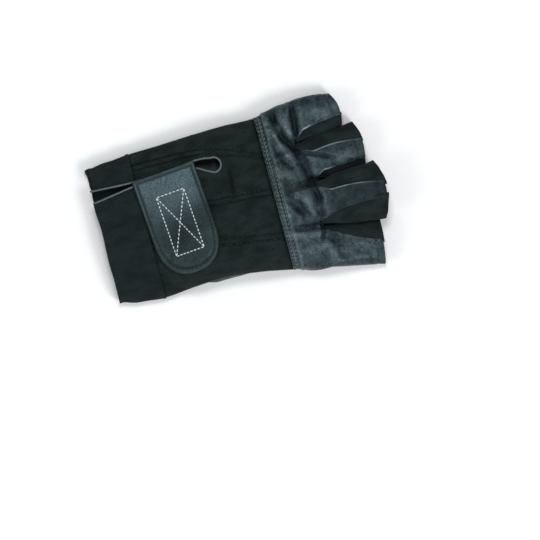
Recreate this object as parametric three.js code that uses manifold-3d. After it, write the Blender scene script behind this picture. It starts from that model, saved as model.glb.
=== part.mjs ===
// Fingerless wheelchair glove for the left hand, lying palm down with its thumb folded under
// the palm. Millimetres. The pattern is drawn with +Y from the wrist to the finger ends, +X
// towards the thumb side and +Z up, and the finished glove is then centred on its footprint.
// Each sewn piece is a wall between an outer and an inner skin, worked out from tables.
import * as THREE from "three";
import { mergeVertices } from "three/addons/utils/BufferGeometryUtils.js";
import Module from "manifold-3d";

const wasm = await Module();
wasm.setup();

// Material thicknesses and the running gap between two sewn pieces.
const LEATHER = 1.4;
const FABRIC = 1.3;
const QUILTED = 1.9;
const ELASTIC = 2.0;
const GAP = 0.3;

// Seam lines, measured along the hand from the wrist end.
const CUFF_SEAM = 29;
const HEEL_SEAM = 66;
const KNUCKLE_SEAM = 114;

// How far the lapped leather of the knuckles stands above the fabric it is sewn to.
const LAP = 0.5;

// The hand's outline, the height of its side crease and its thickness at the middle.
const HAND = [
  { y: 0, left: -43.5, right: 43.8, edge: 6.2, top: 14.5 },
  { y: 12, left: -46.3, right: 47.4, edge: 6.6, top: 16.5 },
  { y: 29, left: -47.3, right: 48.6, edge: 6.4, top: 16.0 },
  { y: 50, left: -47.9, right: 46.8, edge: 6.8, top: 18.5 },
  { y: 72, left: -48.8, right: 46.0, edge: 7.0, top: 20.0 },
  { y: 94, left: -49.3, right: 48.6, edge: 7.0, top: 20.5 },
  { y: 114, left: -48.9, right: 52.4, edge: 7.0, top: 20.0 },
  { y: 137, left: -52.6, right: 57.0, edge: 7.0, top: 17.5 },
  { y: 150, left: -52.8, right: 58.5, edge: 7.0, top: 16.5 },
];
const TOP_FULLNESS = 0.8;
const SOLE_FULLNESS = 0.5;
const SOLE_FLAT = 1.12;
const CREASE_SPLIT = 0.4;

// The four finger stalls, flattened towards their ends. An end stands forward by its crown at
// the middle, and a stall swells sideways halfway along. Leather covers the back and the front,
// as shares of the half width at the root and at the end; the side strips close the rest.
const FINGERS = [
  {
    rootX: -39.9, rootHalf: 12.7, rootTall: 15.0, rootLeftY: 136.0, rootRightY: 138.0,
    tipX: -40.6, tipHalf: 10.5, tipTall: 12.5, tipLeftY: 166.3, tipRightY: 167.6,
    crown: 2.8, swell: 1.8, backFrom: [-1, -1], backTo: [0.66, 0.45], frontFrom: -1, frontTo: 0.62,
  },
  {
    rootX: -12.3, rootHalf: 12.3, rootTall: 15.5, rootLeftY: 138.0, rootRightY: 144.5,
    tipX: -15.9, tipHalf: 13.2, tipTall: 13.5, tipLeftY: 175.3, tipRightY: 176.3,
    crown: 3.0, swell: 0, backFrom: [-0.42, -0.24], backTo: [0.72, 0.84], frontFrom: -0.62, frontTo: 0.62,
  },
  {
    rootX: 15.3, rootHalf: 12.7, rootTall: 16.0, rootLeftY: 144.5, rootRightY: 140.5,
    tipX: 16.9, tipHalf: 17.4, tipTall: 13.0, tipLeftY: 181.5, tipRightY: 180.0,
    crown: 5.0, swell: 0, backFrom: [-0.52, -0.3], backTo: [0.74, 0.35], frontFrom: -0.62, frontTo: 0.62,
  },
  {
    rootX: 43.8, rootHalf: 13.2, rootTall: 15.5, rootLeftY: 140.5, rootRightY: 139.0,
    tipX: 49.9, tipHalf: 13.9, tipTall: 13.5, tipLeftY: 176.0, tipRightY: 173.0,
    crown: 0.6, swell: 0, backFrom: [-0.92, -0.15], backTo: [1, 1], frontFrom: -0.55, frontTo: 1,
  },
];
const STALL_TOP_FULLNESS = 0.85;
const STALL_SOLE_FULLNESS = 0.6;
const SLOT_BULGE = 1.4;
const STRIP_SLACK = 0.5;
const STRIP_ROOM = { sideways: 0.5, upright: 0.9 };

// The thumb lies under the palm along a middle line, with this half width along it.
const THUMB_BASE = new THREE.Vector2(30.5, 66);
const THUMB_TIP = new THREE.Vector2(19, 139);
const THUMB_HALF = [
  { t: 0, half: 16.5 },
  { t: 0.35, half: 20.0 },
  { t: 0.7, half: 19.2 },
  { t: 1, half: 17.8 },
];
const THUMB_TALL = 9.6;
const THUMB_RIM = 4.6;
const THUMB_FLAT = 0.62;
const GATHERS = 7;
const GATHER_DEPTH = 0.55;
const DRAPE = THUMB_TALL + GAP + 0.1;

// How far out, in thumb half widths, the thumb below starts and stops lifting each skin.
const PALM_LIFT = { full: 1.0, none: 1.95 };
const BACK_LIFT = { full: 0.6, none: 2.4 };

// The opening between the hand and the thumb, and the vent holes of the thumb.
const THUMB_DOOR = { along: 0.2, halfWide: 11, halfLong: 19 };
const VENTS = { radius: 0.8, rows: [-4.2, 3.2], count: 7, first: 0.24, last: 1.03 };

// The wrist slit, along the hand: its middle line and its clear half width, both bound.
const SLIT = [
  { y: 0, middle: -26.0, clear: 3.4 },
  { y: 14, middle: -26.6, clear: 2.0 },
  { y: 28, middle: -27.4, clear: 0.7 },
  { y: 48, middle: -28.4, clear: 0.6 },
  { y: 68, middle: -28.9, clear: 0.9 },
  { y: 76, middle: -27.8, clear: 3.0 },
  { y: 82, middle: -26.2, clear: 3.9 },
];
const KEYHOLE_END = { x: -24.9, y: 86.4 };
const BINDING_RADIUS = 0.9;

// The quilted back: where each double-stitched groove runs, and its size.
const GROOVES = [
  { y: 29, first: -38.0, second: -8.0, third: 14.0 },
  { y: 75, first: -36.8, second: -2.8, third: 23.8 },
  { y: 90, first: -32.5, second: -1.6, third: 26.2 },
  { y: 114, first: -24.0, second: 0.0, third: 30.0 },
];
const GROOVE = { half: 1.9, depth: 0.8 };

// Folds of the leather, each a valley from one point to another (a ridge if depth is negative).
// They fade out towards the side crease of the glove.
const FOLD_FADE = 0.5;
const BACK_FOLDS = [
  { fromX: -54, fromY: 128.5, toX: -31, toY: 131, wide: 2.6, depth: 1.7 },
  { fromX: -54, fromY: 137.0, toX: -27, toY: 139, wide: 2.2, depth: 1.8 },
  { fromX: -20, fromY: 137.5, toX: 27, toY: 139, wide: 3.2, depth: 1.4 },
  { fromX: 12, fromY: 121.0, toX: 26, toY: 136, wide: 2.6, depth: 1.0 },
  { fromX: -27, fromY: 124.0, toX: -3, toY: 140, wide: 3.0, depth: -0.9 },
];
const PALM_FOLDS = [
  { fromX: -46, fromY: 83, toX: 4, toY: 83, wide: 3.6, depth: 2.2 },
  { fromX: -48, fromY: 126, toX: 8, toY: 126, wide: 3.6, depth: 2.0 },
  { fromX: 40, fromY: 124, toX: 56, toY: 132, wide: 2.8, depth: 1.4 },
];
const HEEL_FOLDS = [
  { fromX: 46, fromY: 38, toX: 20, toY: 47, wide: 2.4, depth: 1.6 },
  { fromX: 30, fromY: 33, toX: 14, toY: 52, wide: 2.4, depth: 1.4 },
];

// The wrist strap, a leather tab sewn beside the slit that closes over it.
const STRAP = {
  rootX: -30.5, rootY: 48.7, turn: 4.5, long: 68.5, half: 21.2, roundFrom: 44,
  roundPower: 2.3, thick: 2.2, rise: 0.9, rolled: 0.45,
};
const SLIT_HUMP = { wide: 5, tall: 0.8 };

// How many cells each wall is divided into.
const CUFF_ROWS = [0, 5, 12, 20, CUFF_SEAM - GAP];
const CUFF_COLUMNS = 36;
const QUILT_ROWS = 12;
const PAD_CELLS = 3;
const LAST_PAD_CELLS = 5;
const KNUCKLE_CELLS = { cells: 5, handRows: 7, stallRows: 5 };
const PALM_CELLS = { cells: 4, handRows: 12, stallRows: 4 };
const HEEL_CELLS = { columns: 20, rows: 6 };
const STRIP_CELLS = { stall: 4, turn: 4, high: 5 };
const RIM_CELLS = { side: 8, tip: 9 };
const THUMB_BACK_SECTIONS = [0, THUMB_FLAT, 0.78, 0.92, 1];
const THUMB_FRONT_SECTIONS = [0, 0.35, 0.6, 0.8, 0.93, 1];
const STRAP_CELLS = { across: 10, straight: 8, round: 6 };
const BINDING_STEPS = 38;

const { lerp, degToRad, clamp } = THREE.MathUtils;
const smoothstep = (from, to, at) => THREE.MathUtils.smoothstep(at, from, to);
const steps = (count) => Array.from({ length: count + 1 }, (_, i) => i / count);

/** A column of a table at a place along its key, on a smooth cubic through the rows. */
function read(table, key, column, at) {
  const last = table.length - 1;
  const place = clamp(at, table[0][key], table[last][key]);
  let row = 0;
  while (row < last - 1 && place > table[row + 1][key]) row += 1;
  const slope = (n) => {
    const before = table[Math.max(n - 1, 0)];
    const after = table[Math.min(n + 1, last)];
    return (after[column] - before[column]) / (after[key] - before[key]);
  };
  const span = table[row + 1][key] - table[row][key];
  const t = (place - table[row][key]) / span;
  const rise = t * t * (3 - 2 * t);
  return (
    lerp(table[row][column], table[row + 1][column], rise) +
    span * t * (1 - t) * ((1 - t) * slope(row) - t * slope(row + 1))
  );
}

/** How deep the folds of a table are at a point of the pattern; they fade at the outline. */
function foldDepth(folds, x, y) {
  const s = shareAt(x, y);
  const faded = smoothstep(0, FOLD_FADE, Math.sqrt(1 - s * s));
  let depth = 0;
  for (const fold of folds) {
    const run = new THREE.Vector2(fold.toX - fold.fromX, fold.toY - fold.fromY);
    const away = new THREE.Vector2(x - fold.fromX, y - fold.fromY);
    const t = clamp(away.dot(run) / run.lengthSq(), 0, 1);
    const distance = away.addScaledVector(run, -t).length();
    depth += fold.depth * Math.exp(-((distance / fold.wide) ** 2));
  }
  return depth * faded;
}

/** How far a point is from the thumb's middle line, in thumb half widths. */
function thumbReach(x, y) {
  const run = THUMB_TIP.clone().sub(THUMB_BASE);
  const away = new THREE.Vector2(x, y).sub(THUMB_BASE);
  const along = away.dot(run) / run.lengthSq();
  const t = clamp(along, 0, 1);
  const beyondTip = Math.max(along - 1, 0) * run.length();
  const across = away.sub(run.clone().multiplyScalar(along)).length();
  const beforeBase = Math.max(-along, 0) * run.length();
  const softened = Math.hypot(across, beforeBase, beyondTip / 2);
  return softened / read(THUMB_HALF, "t", "half", t);
}

/** How far the palm, or the back of the hand over it, is lifted by the thumb below. */
function lift(x, y, edgeShare, back) {
  const reach = thumbReach(x, y);
  const palm = DRAPE * (1 - smoothstep(PALM_LIFT.full, PALM_LIFT.none, reach));
  if (!back) return palm;
  const eased = DRAPE * (1 - smoothstep(BACK_LIFT.full, BACK_LIFT.none, reach));
  return lerp(eased, palm, edgeShare ** 4);
}

/** A point of the hand at share s of its half width, on its back or on its palm. */
function handPoint(s, y, back, inset, split = CREASE_SPLIT) {
  const left = read(HAND, "y", "left", y);
  const right = read(HAND, "y", "right", y);
  const edge = read(HAND, "y", "edge", y);
  const top = read(HAND, "y", "top", y);
  const x = (left + right) / 2 + ((right - left) / 2 - inset) * s;
  const arch = Math.sqrt(Math.max(1 - s * s, 0));
  const raised = lift(x, y, Math.abs(s), back);
  const z = back
    ? edge + split + (top - edge - split - inset) * arch ** TOP_FULLNESS
    : edge - split - (edge - split - inset) * Math.min(1, SOLE_FLAT * arch ** SOLE_FULLNESS);
  return new THREE.Vector3(x, y, z + raised);
}

/** The share of the half width that lies at x. */
function shareAt(x, y) {
  const left = read(HAND, "y", "left", y);
  const right = read(HAND, "y", "right", y);
  return clamp((x - (left + right) / 2) / ((right - left) / 2), -1, 1);
}

/** The height of the back of the hand over a point of the pattern. */
const backHeight = (x, y) => handPoint(shareAt(x, y), y, true, 0).z;

/** A point of a finger stall: angle 0 faces the thumb side, a quarter turn the back. */
function stallPoint(finger, angle, t, inset) {
  const q = Math.cos(angle);
  const s = Math.sin(angle);
  const side = (q + 1) / 2;
  const half = lerp(finger.rootHalf, finger.tipHalf, t) - inset;
  const tall = lerp(finger.rootTall, finger.tipTall, t) / 2;
  const middle = lerp(finger.rootX, finger.tipX, t);
  const rootY = lerp(finger.rootLeftY, finger.rootRightY, side);
  const tipY = lerp(finger.tipLeftY, finger.tipRightY, side) + finger.crown * (1 - q * q);
  const y = lerp(rootY, tipY, t);
  const swollen = finger.swell * Math.sin(Math.PI * t) * Math.min(q, 0);
  const fullness = s > 0 ? STALL_TOP_FULLNESS : STALL_SOLE_FULLNESS;
  const height = tall + (tall - inset) * Math.sign(s) * Math.abs(s) ** fullness;
  return new THREE.Vector3(middle + half * q + swollen, y, lift(middle, y, 0, false) + height);
}

/** The angle where the leather of a finger's back starts, or ends, a share t along the stall. */
const backAngle = (edge, t) => Math.acos(lerp(edge[0], edge[1], t));

/** The angle where the leather of a finger's front starts or ends. */
const frontAngle = (share) => 2 * Math.PI - Math.acos(share);

/** Builds a closed geometry from points and triangles, with its faces pointing out. */
function closedGeometry(points, triangles) {
  const flat = points.flatMap((p) => [p.x, p.y, p.z]);
  const loose = new THREE.BufferGeometry();
  loose.setAttribute("position", new THREE.Float32BufferAttribute(flat, 3));
  loose.setIndex(triangles);
  const merged = mergeVertices(loose, 1e-3);
  const corner = merged.index.array;
  const at = (n) => new THREE.Vector3().fromBufferAttribute(merged.attributes.position, n);
  const kept = [];
  let volume = 0;
  for (let n = 0; n < corner.length; n += 3) {
    const [a, b, c] = [corner[n], corner[n + 1], corner[n + 2]];
    if (a === b || b === c || a === c) continue;
    kept.push([a, b, c]);
    volume += at(a).dot(at(b).cross(at(c)));
  }
  merged.setIndex(kept.flatMap(([a, b, c]) => (volume > 0 ? [a, b, c] : [a, c, b])));
  return merged;
}

/**
 * A wall between two skins that share one grid of cells. A ring joins its last column to its
 * first, and a spined wall's first row meets itself along a line.
 */
function wall({ columns, rows, outer, inner, ring = false, spined = false, kept = () => true }) {
  const across = ring ? columns : columns + 1;
  const points = [];
  for (const skin of [outer, inner])
    for (let j = 0; j <= rows; j += 1)
      for (let i = 0; i < across; i += 1) points.push(skin(i, j));
  const skinSize = across * (rows + 1);
  const index = (i, j, layer) => layer * skinSize + j * across + (i % across);
  const exists = (i, j) => {
    const column = ring ? (i + columns) % columns : i;
    return column >= 0 && column < columns && j >= 0 && j < rows && kept(column, j);
  };
  const triangles = [];
  const quad = (a, b, c, d) => triangles.push(a, b, c, a, c, d);
  for (let j = 0; j < rows; j += 1)
    for (let i = 0; i < columns; i += 1) {
      if (!exists(i, j)) continue;
      const ring4 = [[i, j], [i + 1, j], [i + 1, j + 1], [i, j + 1]];
      const [a, b, c, d] = ring4.map(([m, n]) => index(m, n, 0));
      const [e, f, g, h] = ring4.map(([m, n]) => index(m, n, 1));
      quad(a, b, c, d);
      quad(e, h, g, f);
      if (!exists(i, j - 1) && !(spined && j === 0)) quad(b, a, e, f);
      if (!exists(i + 1, j)) quad(c, b, f, g);
      if (!exists(i, j + 1)) quad(d, c, g, h);
      if (!exists(i - 1, j)) quad(a, d, h, e);
    }
  return closedGeometry(points, triangles);
}

/** A geometry as a solid that can be joined and cut. */
function solid(geometry) {
  const bare = geometry.clone();
  for (const name of Object.keys(bare.attributes))
    if (name !== "position") bare.deleteAttribute(name);
  const merged = bare.index ? bare : mergeVertices(bare, 1e-4);
  return new wasm.Manifold(
    new wasm.Mesh({
      numProp: 3,
      vertProperties: new Float32Array(merged.attributes.position.array),
      triVerts: new Uint32Array(merged.index.array),
    }),
  );
}

/** A geometry with others cut away from it; offcuts are dropped. */
function cut(geometry, ...tools) {
  const left = tools.reduce((body, tool) => body.subtract(solid(tool)), solid(geometry));
  const [main] = left.decompose().sort((a, b) => b.volume() - a.volume());
  const mesh = main.getMesh();
  const made = new THREE.BufferGeometry();
  made.setAttribute("position", new THREE.Float32BufferAttribute(mesh.vertProperties, 3));
  made.setIndex(Array.from(mesh.triVerts));
  return made;
}

/** An upright prism of an outline between two heights, merged so that it can cut. */
function prism(outline, low, high) {
  const raw = new THREE.ExtrudeGeometry(new THREE.Shape(outline), {
    depth: high - low,
    bevelEnabled: false,
  });
  raw.translate(0, 0, low);
  raw.deleteAttribute("normal");
  raw.deleteAttribute("uv");
  return mergeVertices(raw, 1e-4);
}

/** One edge of the slit's opening, from the wrist to the keyhole's end, moved out by grow. */
function slitEdge(direction, grow) {
  return SLIT.map((row) => new THREE.Vector2(row.middle + direction * (row.clear + grow), row.y));
}

/** The closed line around the slit and its keyhole, moved out by grow. */
function slitOutline(grow, wristY) {
  const end = new THREE.Vector2(KEYHOLE_END.x, KEYHOLE_END.y + grow);
  const left = slitEdge(-1, grow);
  const right = slitEdge(1, grow).reverse();
  left[0].y = wristY;
  right[right.length - 1].y = wristY;
  const points = [...left, end, ...right].map((p) => new THREE.Vector3(p.x, p.y, 0));
  return new THREE.CatmullRomCurve3(points, false, "centripetal");
}

/** The wrist slit as a cutting tool, wide enough for the binding and its gap. */
function slitTool() {
  const outline = slitOutline(2 * BINDING_RADIUS + 1.5 * GAP, -1).getPoints(BINDING_STEPS);
  return prism(outline.map((p) => new THREE.Vector2(p.x, p.y)), HAND[0].edge + 2, 40);
}

/** The elastic wrist band: a ring that the slit opens on the back of the hand. */
function cuffBand() {
  const skin = (inset) => (i, j) => {
    const angle = (2 * Math.PI * i) / CUFF_COLUMNS;
    const back = Math.sin(angle) >= 0;
    return handPoint(Math.cos(angle), CUFF_ROWS[j], back, inset, 0);
  };
  const ringShape = { columns: CUFF_COLUMNS, rows: CUFF_ROWS.length - 1, ring: true };
  const band = wall({ ...ringShape, outer: skin(0), inner: skin(ELASTIC) });
  return cut(band, slitTool());
}

/** The places across the quilted back where its columns run at a distance along the hand. */
function quiltColumns(y) {
  const middle = (n) => read(GROOVES, "y", ["first", "second", "third"][n], y);
  const tracks = [-1];
  for (const n of [0, 1, 2]) {
    const start = tracks[tracks.length - 1];
    const sides = [-GROOVE.half, 0, GROOVE.half].map((by) => shareAt(middle(n) + by, y));
    for (const t of steps(PAD_CELLS).slice(1)) tracks.push(lerp(start, sides[0], t));
    tracks.push(sides[1], sides[2]);
  }
  const start = tracks[tracks.length - 1];
  for (const t of steps(LAST_PAD_CELLS).slice(1))
    tracks.push(lerp(start, 1, Math.sin((t * Math.PI) / 2)));
  return tracks;
}

/** The quilted stretch panel over the back of the hand, with the slit's keyhole. */
function backPanel() {
  const rows = steps(QUILT_ROWS).map((t) => lerp(CUFF_SEAM, KNUCKLE_SEAM - GAP, t));
  const tracks = rows.map(quiltColumns);
  const columns = tracks[0].length - 1;
  const valley = new Set([0, 1, 2].map((n) => PAD_CELLS + 1 + n * (PAD_CELLS + 2)));
  const skin = (inset) => (i, j) => {
    const sunk = inset === 0 && valley.has(i) ? GROOVE.depth : 0;
    const point = handPoint(tracks[j][i], rows[j], true, inset);
    point.z -= sunk;
    return point;
  };
  const grid = { columns, rows: rows.length - 1 };
  return cut(wall({ ...grid, outer: skin(0), inner: skin(QUILTED) }), slitTool());
}

/** The leather columns of one side of the glove: a set for each finger, joined by webs. */
function leatherColumns(back, cells) {
  const made = [];
  FINGERS.forEach((finger, n) => {
    const angle = (share, t) =>
      back
        ? lerp(backAngle(finger.backFrom, t), backAngle(finger.backTo, t), share)
        : lerp(frontAngle(finger.frontFrom), frontAngle(finger.frontTo), share);
    for (const share of steps(cells)) made.push({ finger, angle: (t) => angle(share, t) });
    if (n < FINGERS.length - 1) made.push({ web: n });
  });
  return made;
}

/** Where a leather column crosses the line of the finger roots. */
function rootPoint(columns, i, back, inset) {
  const column = columns[i];
  if (column.finger) {
    const angle = column.angle(0);
    const point = stallPoint(column.finger, angle, 0, inset);
    const crease = Math.abs(Math.sin(angle)) < 1e-6;
    if (crease) point.z += back ? CREASE_SPLIT : -CREASE_SPLIT;
    return point;
  }
  const before = rootPoint(columns, i - 1, back, inset);
  const after = rootPoint(columns, i + 1, back, inset);
  const point = before.lerp(after, 0.5);
  point.y -= SLOT_BULGE / 2;
  return point;
}

/** A leather skin from a seam across the hand, past the finger roots, to the finger ends. */
function leatherSkin({ columns, back, seam, handRows, stallRows, folds, inset }) {
  const roots = columns.map((_, i) => rootPoint(columns, i, back, inset));
  const dip = back ? -1 : 1;
  return (i, j) => {
    const point = new THREE.Vector3();
    if (j <= handRows) {
      const t = j / handRows;
      const y = lerp(seam, roots[i].y, t);
      const hand = handPoint(shareAt(roots[i].x, roots[i].y), y, back, inset);
      const rooted = smoothstep(0.1, 1, (y - KNUCKLE_SEAM) / (roots[i].y - KNUCKLE_SEAM));
      point.set(lerp(hand.x, roots[i].x, rooted), y, lerp(hand.z, roots[i].z, rooted));
    } else {
      const t = (j - handRows) / stallRows;
      const column = columns[i].finger ? columns[i] : columns[i - 1];
      const angle = column.angle(t);
      point.copy(stallPoint(column.finger, angle, t, inset));
      if (Math.abs(Math.sin(angle)) < 1e-6) point.z += back ? CREASE_SPLIT : -CREASE_SPLIT;
    }
    point.z += dip * foldDepth(folds, point.x, point.y);
    return point;
  };
}

/** A leather panel of one side of the glove, whose tongues are the fingers' backs or fronts. */
function leatherPanel({ back, seam, cells, handRows, stallRows, folds, proud }) {
  const columns = leatherColumns(back, cells);
  const shape = { columns, back, seam, handRows, stallRows, folds };
  const isWeb = (i) => columns[i].web !== undefined || columns[i + 1].web !== undefined;
  return wall({
    columns: columns.length - 1,
    rows: handRows + stallRows,
    kept: (i, j) => j < handRows || !isWeb(i),
    outer: leatherSkin({ ...shape, inset: -proud }),
    inner: leatherSkin({ ...shape, inset: LEATHER - proud }),
  });
}

/** The stretch strip between two fingers: down one side, round the slot and up the other. */
function sideStrip(n) {
  const [before, after] = [FINGERS[n], FINGERS[n + 1]];
  const { stall, turn: turnCells, high } = STRIP_CELLS;
  const span = (finger, thumbSide, t) => {
    const angles = thumbSide
      ? [backAngle(finger.backTo, t), -Math.acos(finger.frontTo)]
      : [backAngle(finger.backFrom, t), frontAngle(finger.frontFrom)];
    const turned = (Math.sign(angles[1] - angles[0]) * STRIP_SLACK) / finger.rootHalf;
    return [angles[0] + turned, angles[1] - turned];
  };
  const skin = (inset) => (i, j) => {
    const at = (finger, thumbSide, t) =>
      stallPoint(finger, lerp(...span(finger, thumbSide, t), j / high), t, inset);
    if (i <= stall) return at(before, true, 1 - i / stall);
    const far = i - stall - turnCells;
    if (far >= 0) return at(after, false, far / stall);
    const turn = (i - stall) / turnCells;
    const [a, b] = [at(before, true, 0), at(after, false, 0)];
    const point = a.clone().lerp(b, (1 - Math.cos(Math.PI * turn)) / 2);
    point.y -= (SLOT_BULGE + inset) * Math.sin(Math.PI * turn);
    return point;
  };
  return wall({
    columns: 2 * stall + turnCells,
    rows: high,
    outer: skin(0),
    inner: skin(FABRIC),
  });
}

/** The room that the leather leaves on every side of a strip, as cutting tools. */
function stripRoom(strip) {
  const { sideways, upright } = STRIP_ROOM;
  const moves = [
    [sideways, 0, 0], [-sideways, 0, 0], [0, sideways, 0], [0, -sideways, 0],
    [0, 0, upright], [0, 0, 0], [0, 0, -upright],
  ];
  return moves.map((move) => strip.clone().translate(...move));
}

/** The rim of the thumb: each point with its own point on the middle line. */
function thumbRim() {
  const run = THUMB_TIP.clone().sub(THUMB_BASE);
  const aim = run.angle();
  const across = new THREE.Vector2(run.y, -run.x).normalize();
  const halfAt = (t) => read(THUMB_HALF, "t", "half", t);
  const side = (t, sign) => ({
    spine: THUMB_BASE.clone().addScaledVector(run, t),
    out: across.clone().multiplyScalar(sign),
    half: halfAt(t),
    pleat: 0,
  });
  const end = (centre, half, angle, pleat) => ({
    spine: centre,
    out: new THREE.Vector2(Math.cos(angle), Math.sin(angle)),
    half: half - pleat,
    pleat,
  });
  const rim = steps(RIM_CELLS.side).map((t) => side(t, 1));
  for (const t of steps(RIM_CELLS.tip).slice(1, -1))
    rim.push(end(THUMB_TIP, halfAt(1), aim + Math.PI * (t - 0.5), 0));
  for (const t of steps(RIM_CELLS.side)) rim.push(side(1 - t, -1));
  steps(2 * GATHERS).slice(1, -1).forEach((t, i) => {
    const pleat = i % 2 ? 0 : GATHER_DEPTH;
    rim.push(end(THUMB_BASE, halfAt(0), aim + Math.PI * (t + 0.5), pleat));
  });
  return rim;
}

/** One leather half of the thumb: the back lies on the ground, the front faces the palm. */
function thumbHalf(back, sections) {
  const rim = thumbRim();
  const skin = (inset) => (i, j) => {
    const { spine, out, half, pleat } = rim[i];
    const share = sections[j];
    const flat = Math.max((share - THUMB_FLAT) / (1 - THUMB_FLAT), 0);
    const rise = Math.sqrt(Math.max(1 - share * share, 0));
    const z = back
      ? THUMB_RIM - GAP / 2 - (THUMB_RIM - GAP / 2 - inset) * Math.sqrt(1 - flat * flat)
      : THUMB_RIM + GAP / 2 + (THUMB_TALL - THUMB_RIM - GAP / 2 - inset) * rise;
    const fade = smoothstep(0.3, 0.75, share) * (1 - smoothstep(0.85, 1, share));
    const place = spine.clone().addScaledVector(out, (half - inset) * share);
    const onGround = back && z <= inset + 1e-6;
    const gathered = onGround ? 0 : pleat * fade * (back ? 1 : -1);
    return new THREE.Vector3(place.x, place.y, z + gathered);
  };
  return wall({
    columns: rim.length,
    rows: sections.length - 1,
    ring: true,
    spined: true,
    outer: skin(0),
    inner: skin(LEATHER),
  });
}

/** The door between hand and thumb as a cutting tool. */
function thumbDoor() {
  const run = THUMB_TIP.clone().sub(THUMB_BASE);
  const centre = THUMB_BASE.clone().addScaledVector(run, THUMB_DOOR.along);
  const ellipse = new THREE.EllipseCurve(
    centre.x, centre.y, THUMB_DOOR.halfWide, THUMB_DOOR.halfLong,
    0, 2 * Math.PI, false, run.angle() - Math.PI / 2,
  );
  return prism(ellipse.getPoints(24).slice(0, -1), THUMB_RIM + 1, HAND[3].top);
}

/** The vent holes in the back of the thumb as cutting tools, two rows along it. */
function thumbVents() {
  const run = THUMB_TIP.clone().sub(THUMB_BASE);
  const across = new THREE.Vector2(run.y, -run.x).normalize();
  return VENTS.rows.flatMap((offset) =>
    steps(VENTS.count - 1).map((t) => {
      const along = lerp(VENTS.first, VENTS.last, t);
      const centre = THUMB_BASE.clone().addScaledVector(run, along).addScaledVector(across, offset);
      const circle = new THREE.EllipseCurve(centre.x, centre.y, VENTS.radius, VENTS.radius);
      return prism(circle.getPoints(6).slice(0, -1), -1, THUMB_RIM);
    }),
  );
}

/** The heel of the palm, between the wrist band and the palm's cross seam. */
function palmHeel() {
  const { columns, rows } = HEEL_CELLS;
  const skin = (inset) => (i, j) => {
    const s = -Math.cos((Math.PI * i) / columns);
    const point = handPoint(s, lerp(CUFF_SEAM, HEEL_SEAM - GAP, j / rows), false, inset);
    point.z += foldDepth(HEEL_FOLDS, point.x, point.y);
    return point;
  };
  return cut(wall({ columns, rows, outer: skin(0), inner: skin(LEATHER) }), thumbDoor());
}

/** A point of the strap: u across it from -1 to 1, and a distance along it from its root. */
function strapPoint(u, along, outer) {
  const past = Math.max((along - STRAP.roundFrom) / (STRAP.long - STRAP.roundFrom), 0);
  const share = Math.max(1 - past ** STRAP.roundPower, 0) ** (1 / STRAP.roundPower);
  const turn = degToRad(STRAP.turn);
  const offset = u * STRAP.half * share;
  const x = STRAP.rootX + along * Math.cos(turn) - offset * Math.sin(turn);
  const y = STRAP.rootY + along * Math.sin(turn) + offset * Math.cos(turn);
  const fromSlit = Math.abs(x - read(SLIT, "y", "middle", y)) / SLIT_HUMP.wide;
  const hump = SLIT_HUMP.tall * Math.exp(-(fromSlit ** 2));
  const roll = STRAP.rolled * Math.max(Math.abs(u), past, 1 - along / 4) ** 6;
  const z = backHeight(x, y) + STRAP.rise + hump;
  return new THREE.Vector3(x, y, outer ? z + STRAP.thick - roll : z);
}

/** The leather wrist strap, with a square sewn end and a round free end. */
function wristStrap() {
  const rounded = (t) => Math.sin((t * Math.PI) / 2);
  const across = steps(STRAP_CELLS.across).map((t) => rounded(2 * t - 1));
  const along = [
    ...steps(STRAP_CELLS.straight).map((t) => lerp(0, STRAP.roundFrom, t)),
    ...steps(STRAP_CELLS.round).slice(1).map((t) => lerp(STRAP.roundFrom, STRAP.long, rounded(t))),
  ];
  return wall({
    columns: across.length - 1,
    rows: along.length - 1,
    outer: (i, j) => strapPoint(across[i], along[j], true),
    inner: (i, j) => strapPoint(across[i], along[j], false),
  });
}

/** The rolled binding that runs up one edge of the slit, round the keyhole and back down. */
function slitBinding() {
  const line = slitOutline(BINDING_RADIUS, 0);
  const onBack = line.getPoints(BINDING_STEPS).map((p) => {
    const y = Math.max(p.y, 0);
    return new THREE.Vector3(p.x, y, backHeight(p.x, y) - BINDING_RADIUS / 2);
  });
  const section = new THREE.EllipseCurve(0, 0, BINDING_RADIUS, BINDING_RADIUS);
  const tube = new THREE.ExtrudeGeometry(new THREE.Shape(section.getPoints(6).slice(0, -1)), {
    steps: BINDING_STEPS,
    extrudePath: new THREE.CatmullRomCurve3(onBack, false, "centripetal"),
  });
  tube.deleteAttribute("normal");
  tube.deleteAttribute("uv");
  return mergeVertices(tube, 1e-4);
}

const leather = (name, color, roughness) =>
  new THREE.MeshStandardMaterial({ name, color, roughness, metalness: 0 });
const MATERIALS = {
  knuckle: leather("knuckle_leather", 0x222a2b, 0.45),
  palm: leather("palm_leather", 0x232c2c, 0.5),
  thumb: leather("thumb_leather", 0x2b3632, 0.6),
  strap: leather("strap_leather", 0x2c3538, 0.5),
  stretch: leather("stretch_fabric", 0x12171a, 0.95),
  elastic: leather("wrist_elastic", 0x11171a, 0.95),
  binding: leather("edge_binding", 0x4a5652, 0.6),
};

/** A named piece of the glove. */
function piece(name, geometry, material) {
  const mesh = new THREE.Mesh(geometry, material);
  mesh.name = name;
  return mesh;
}

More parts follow.
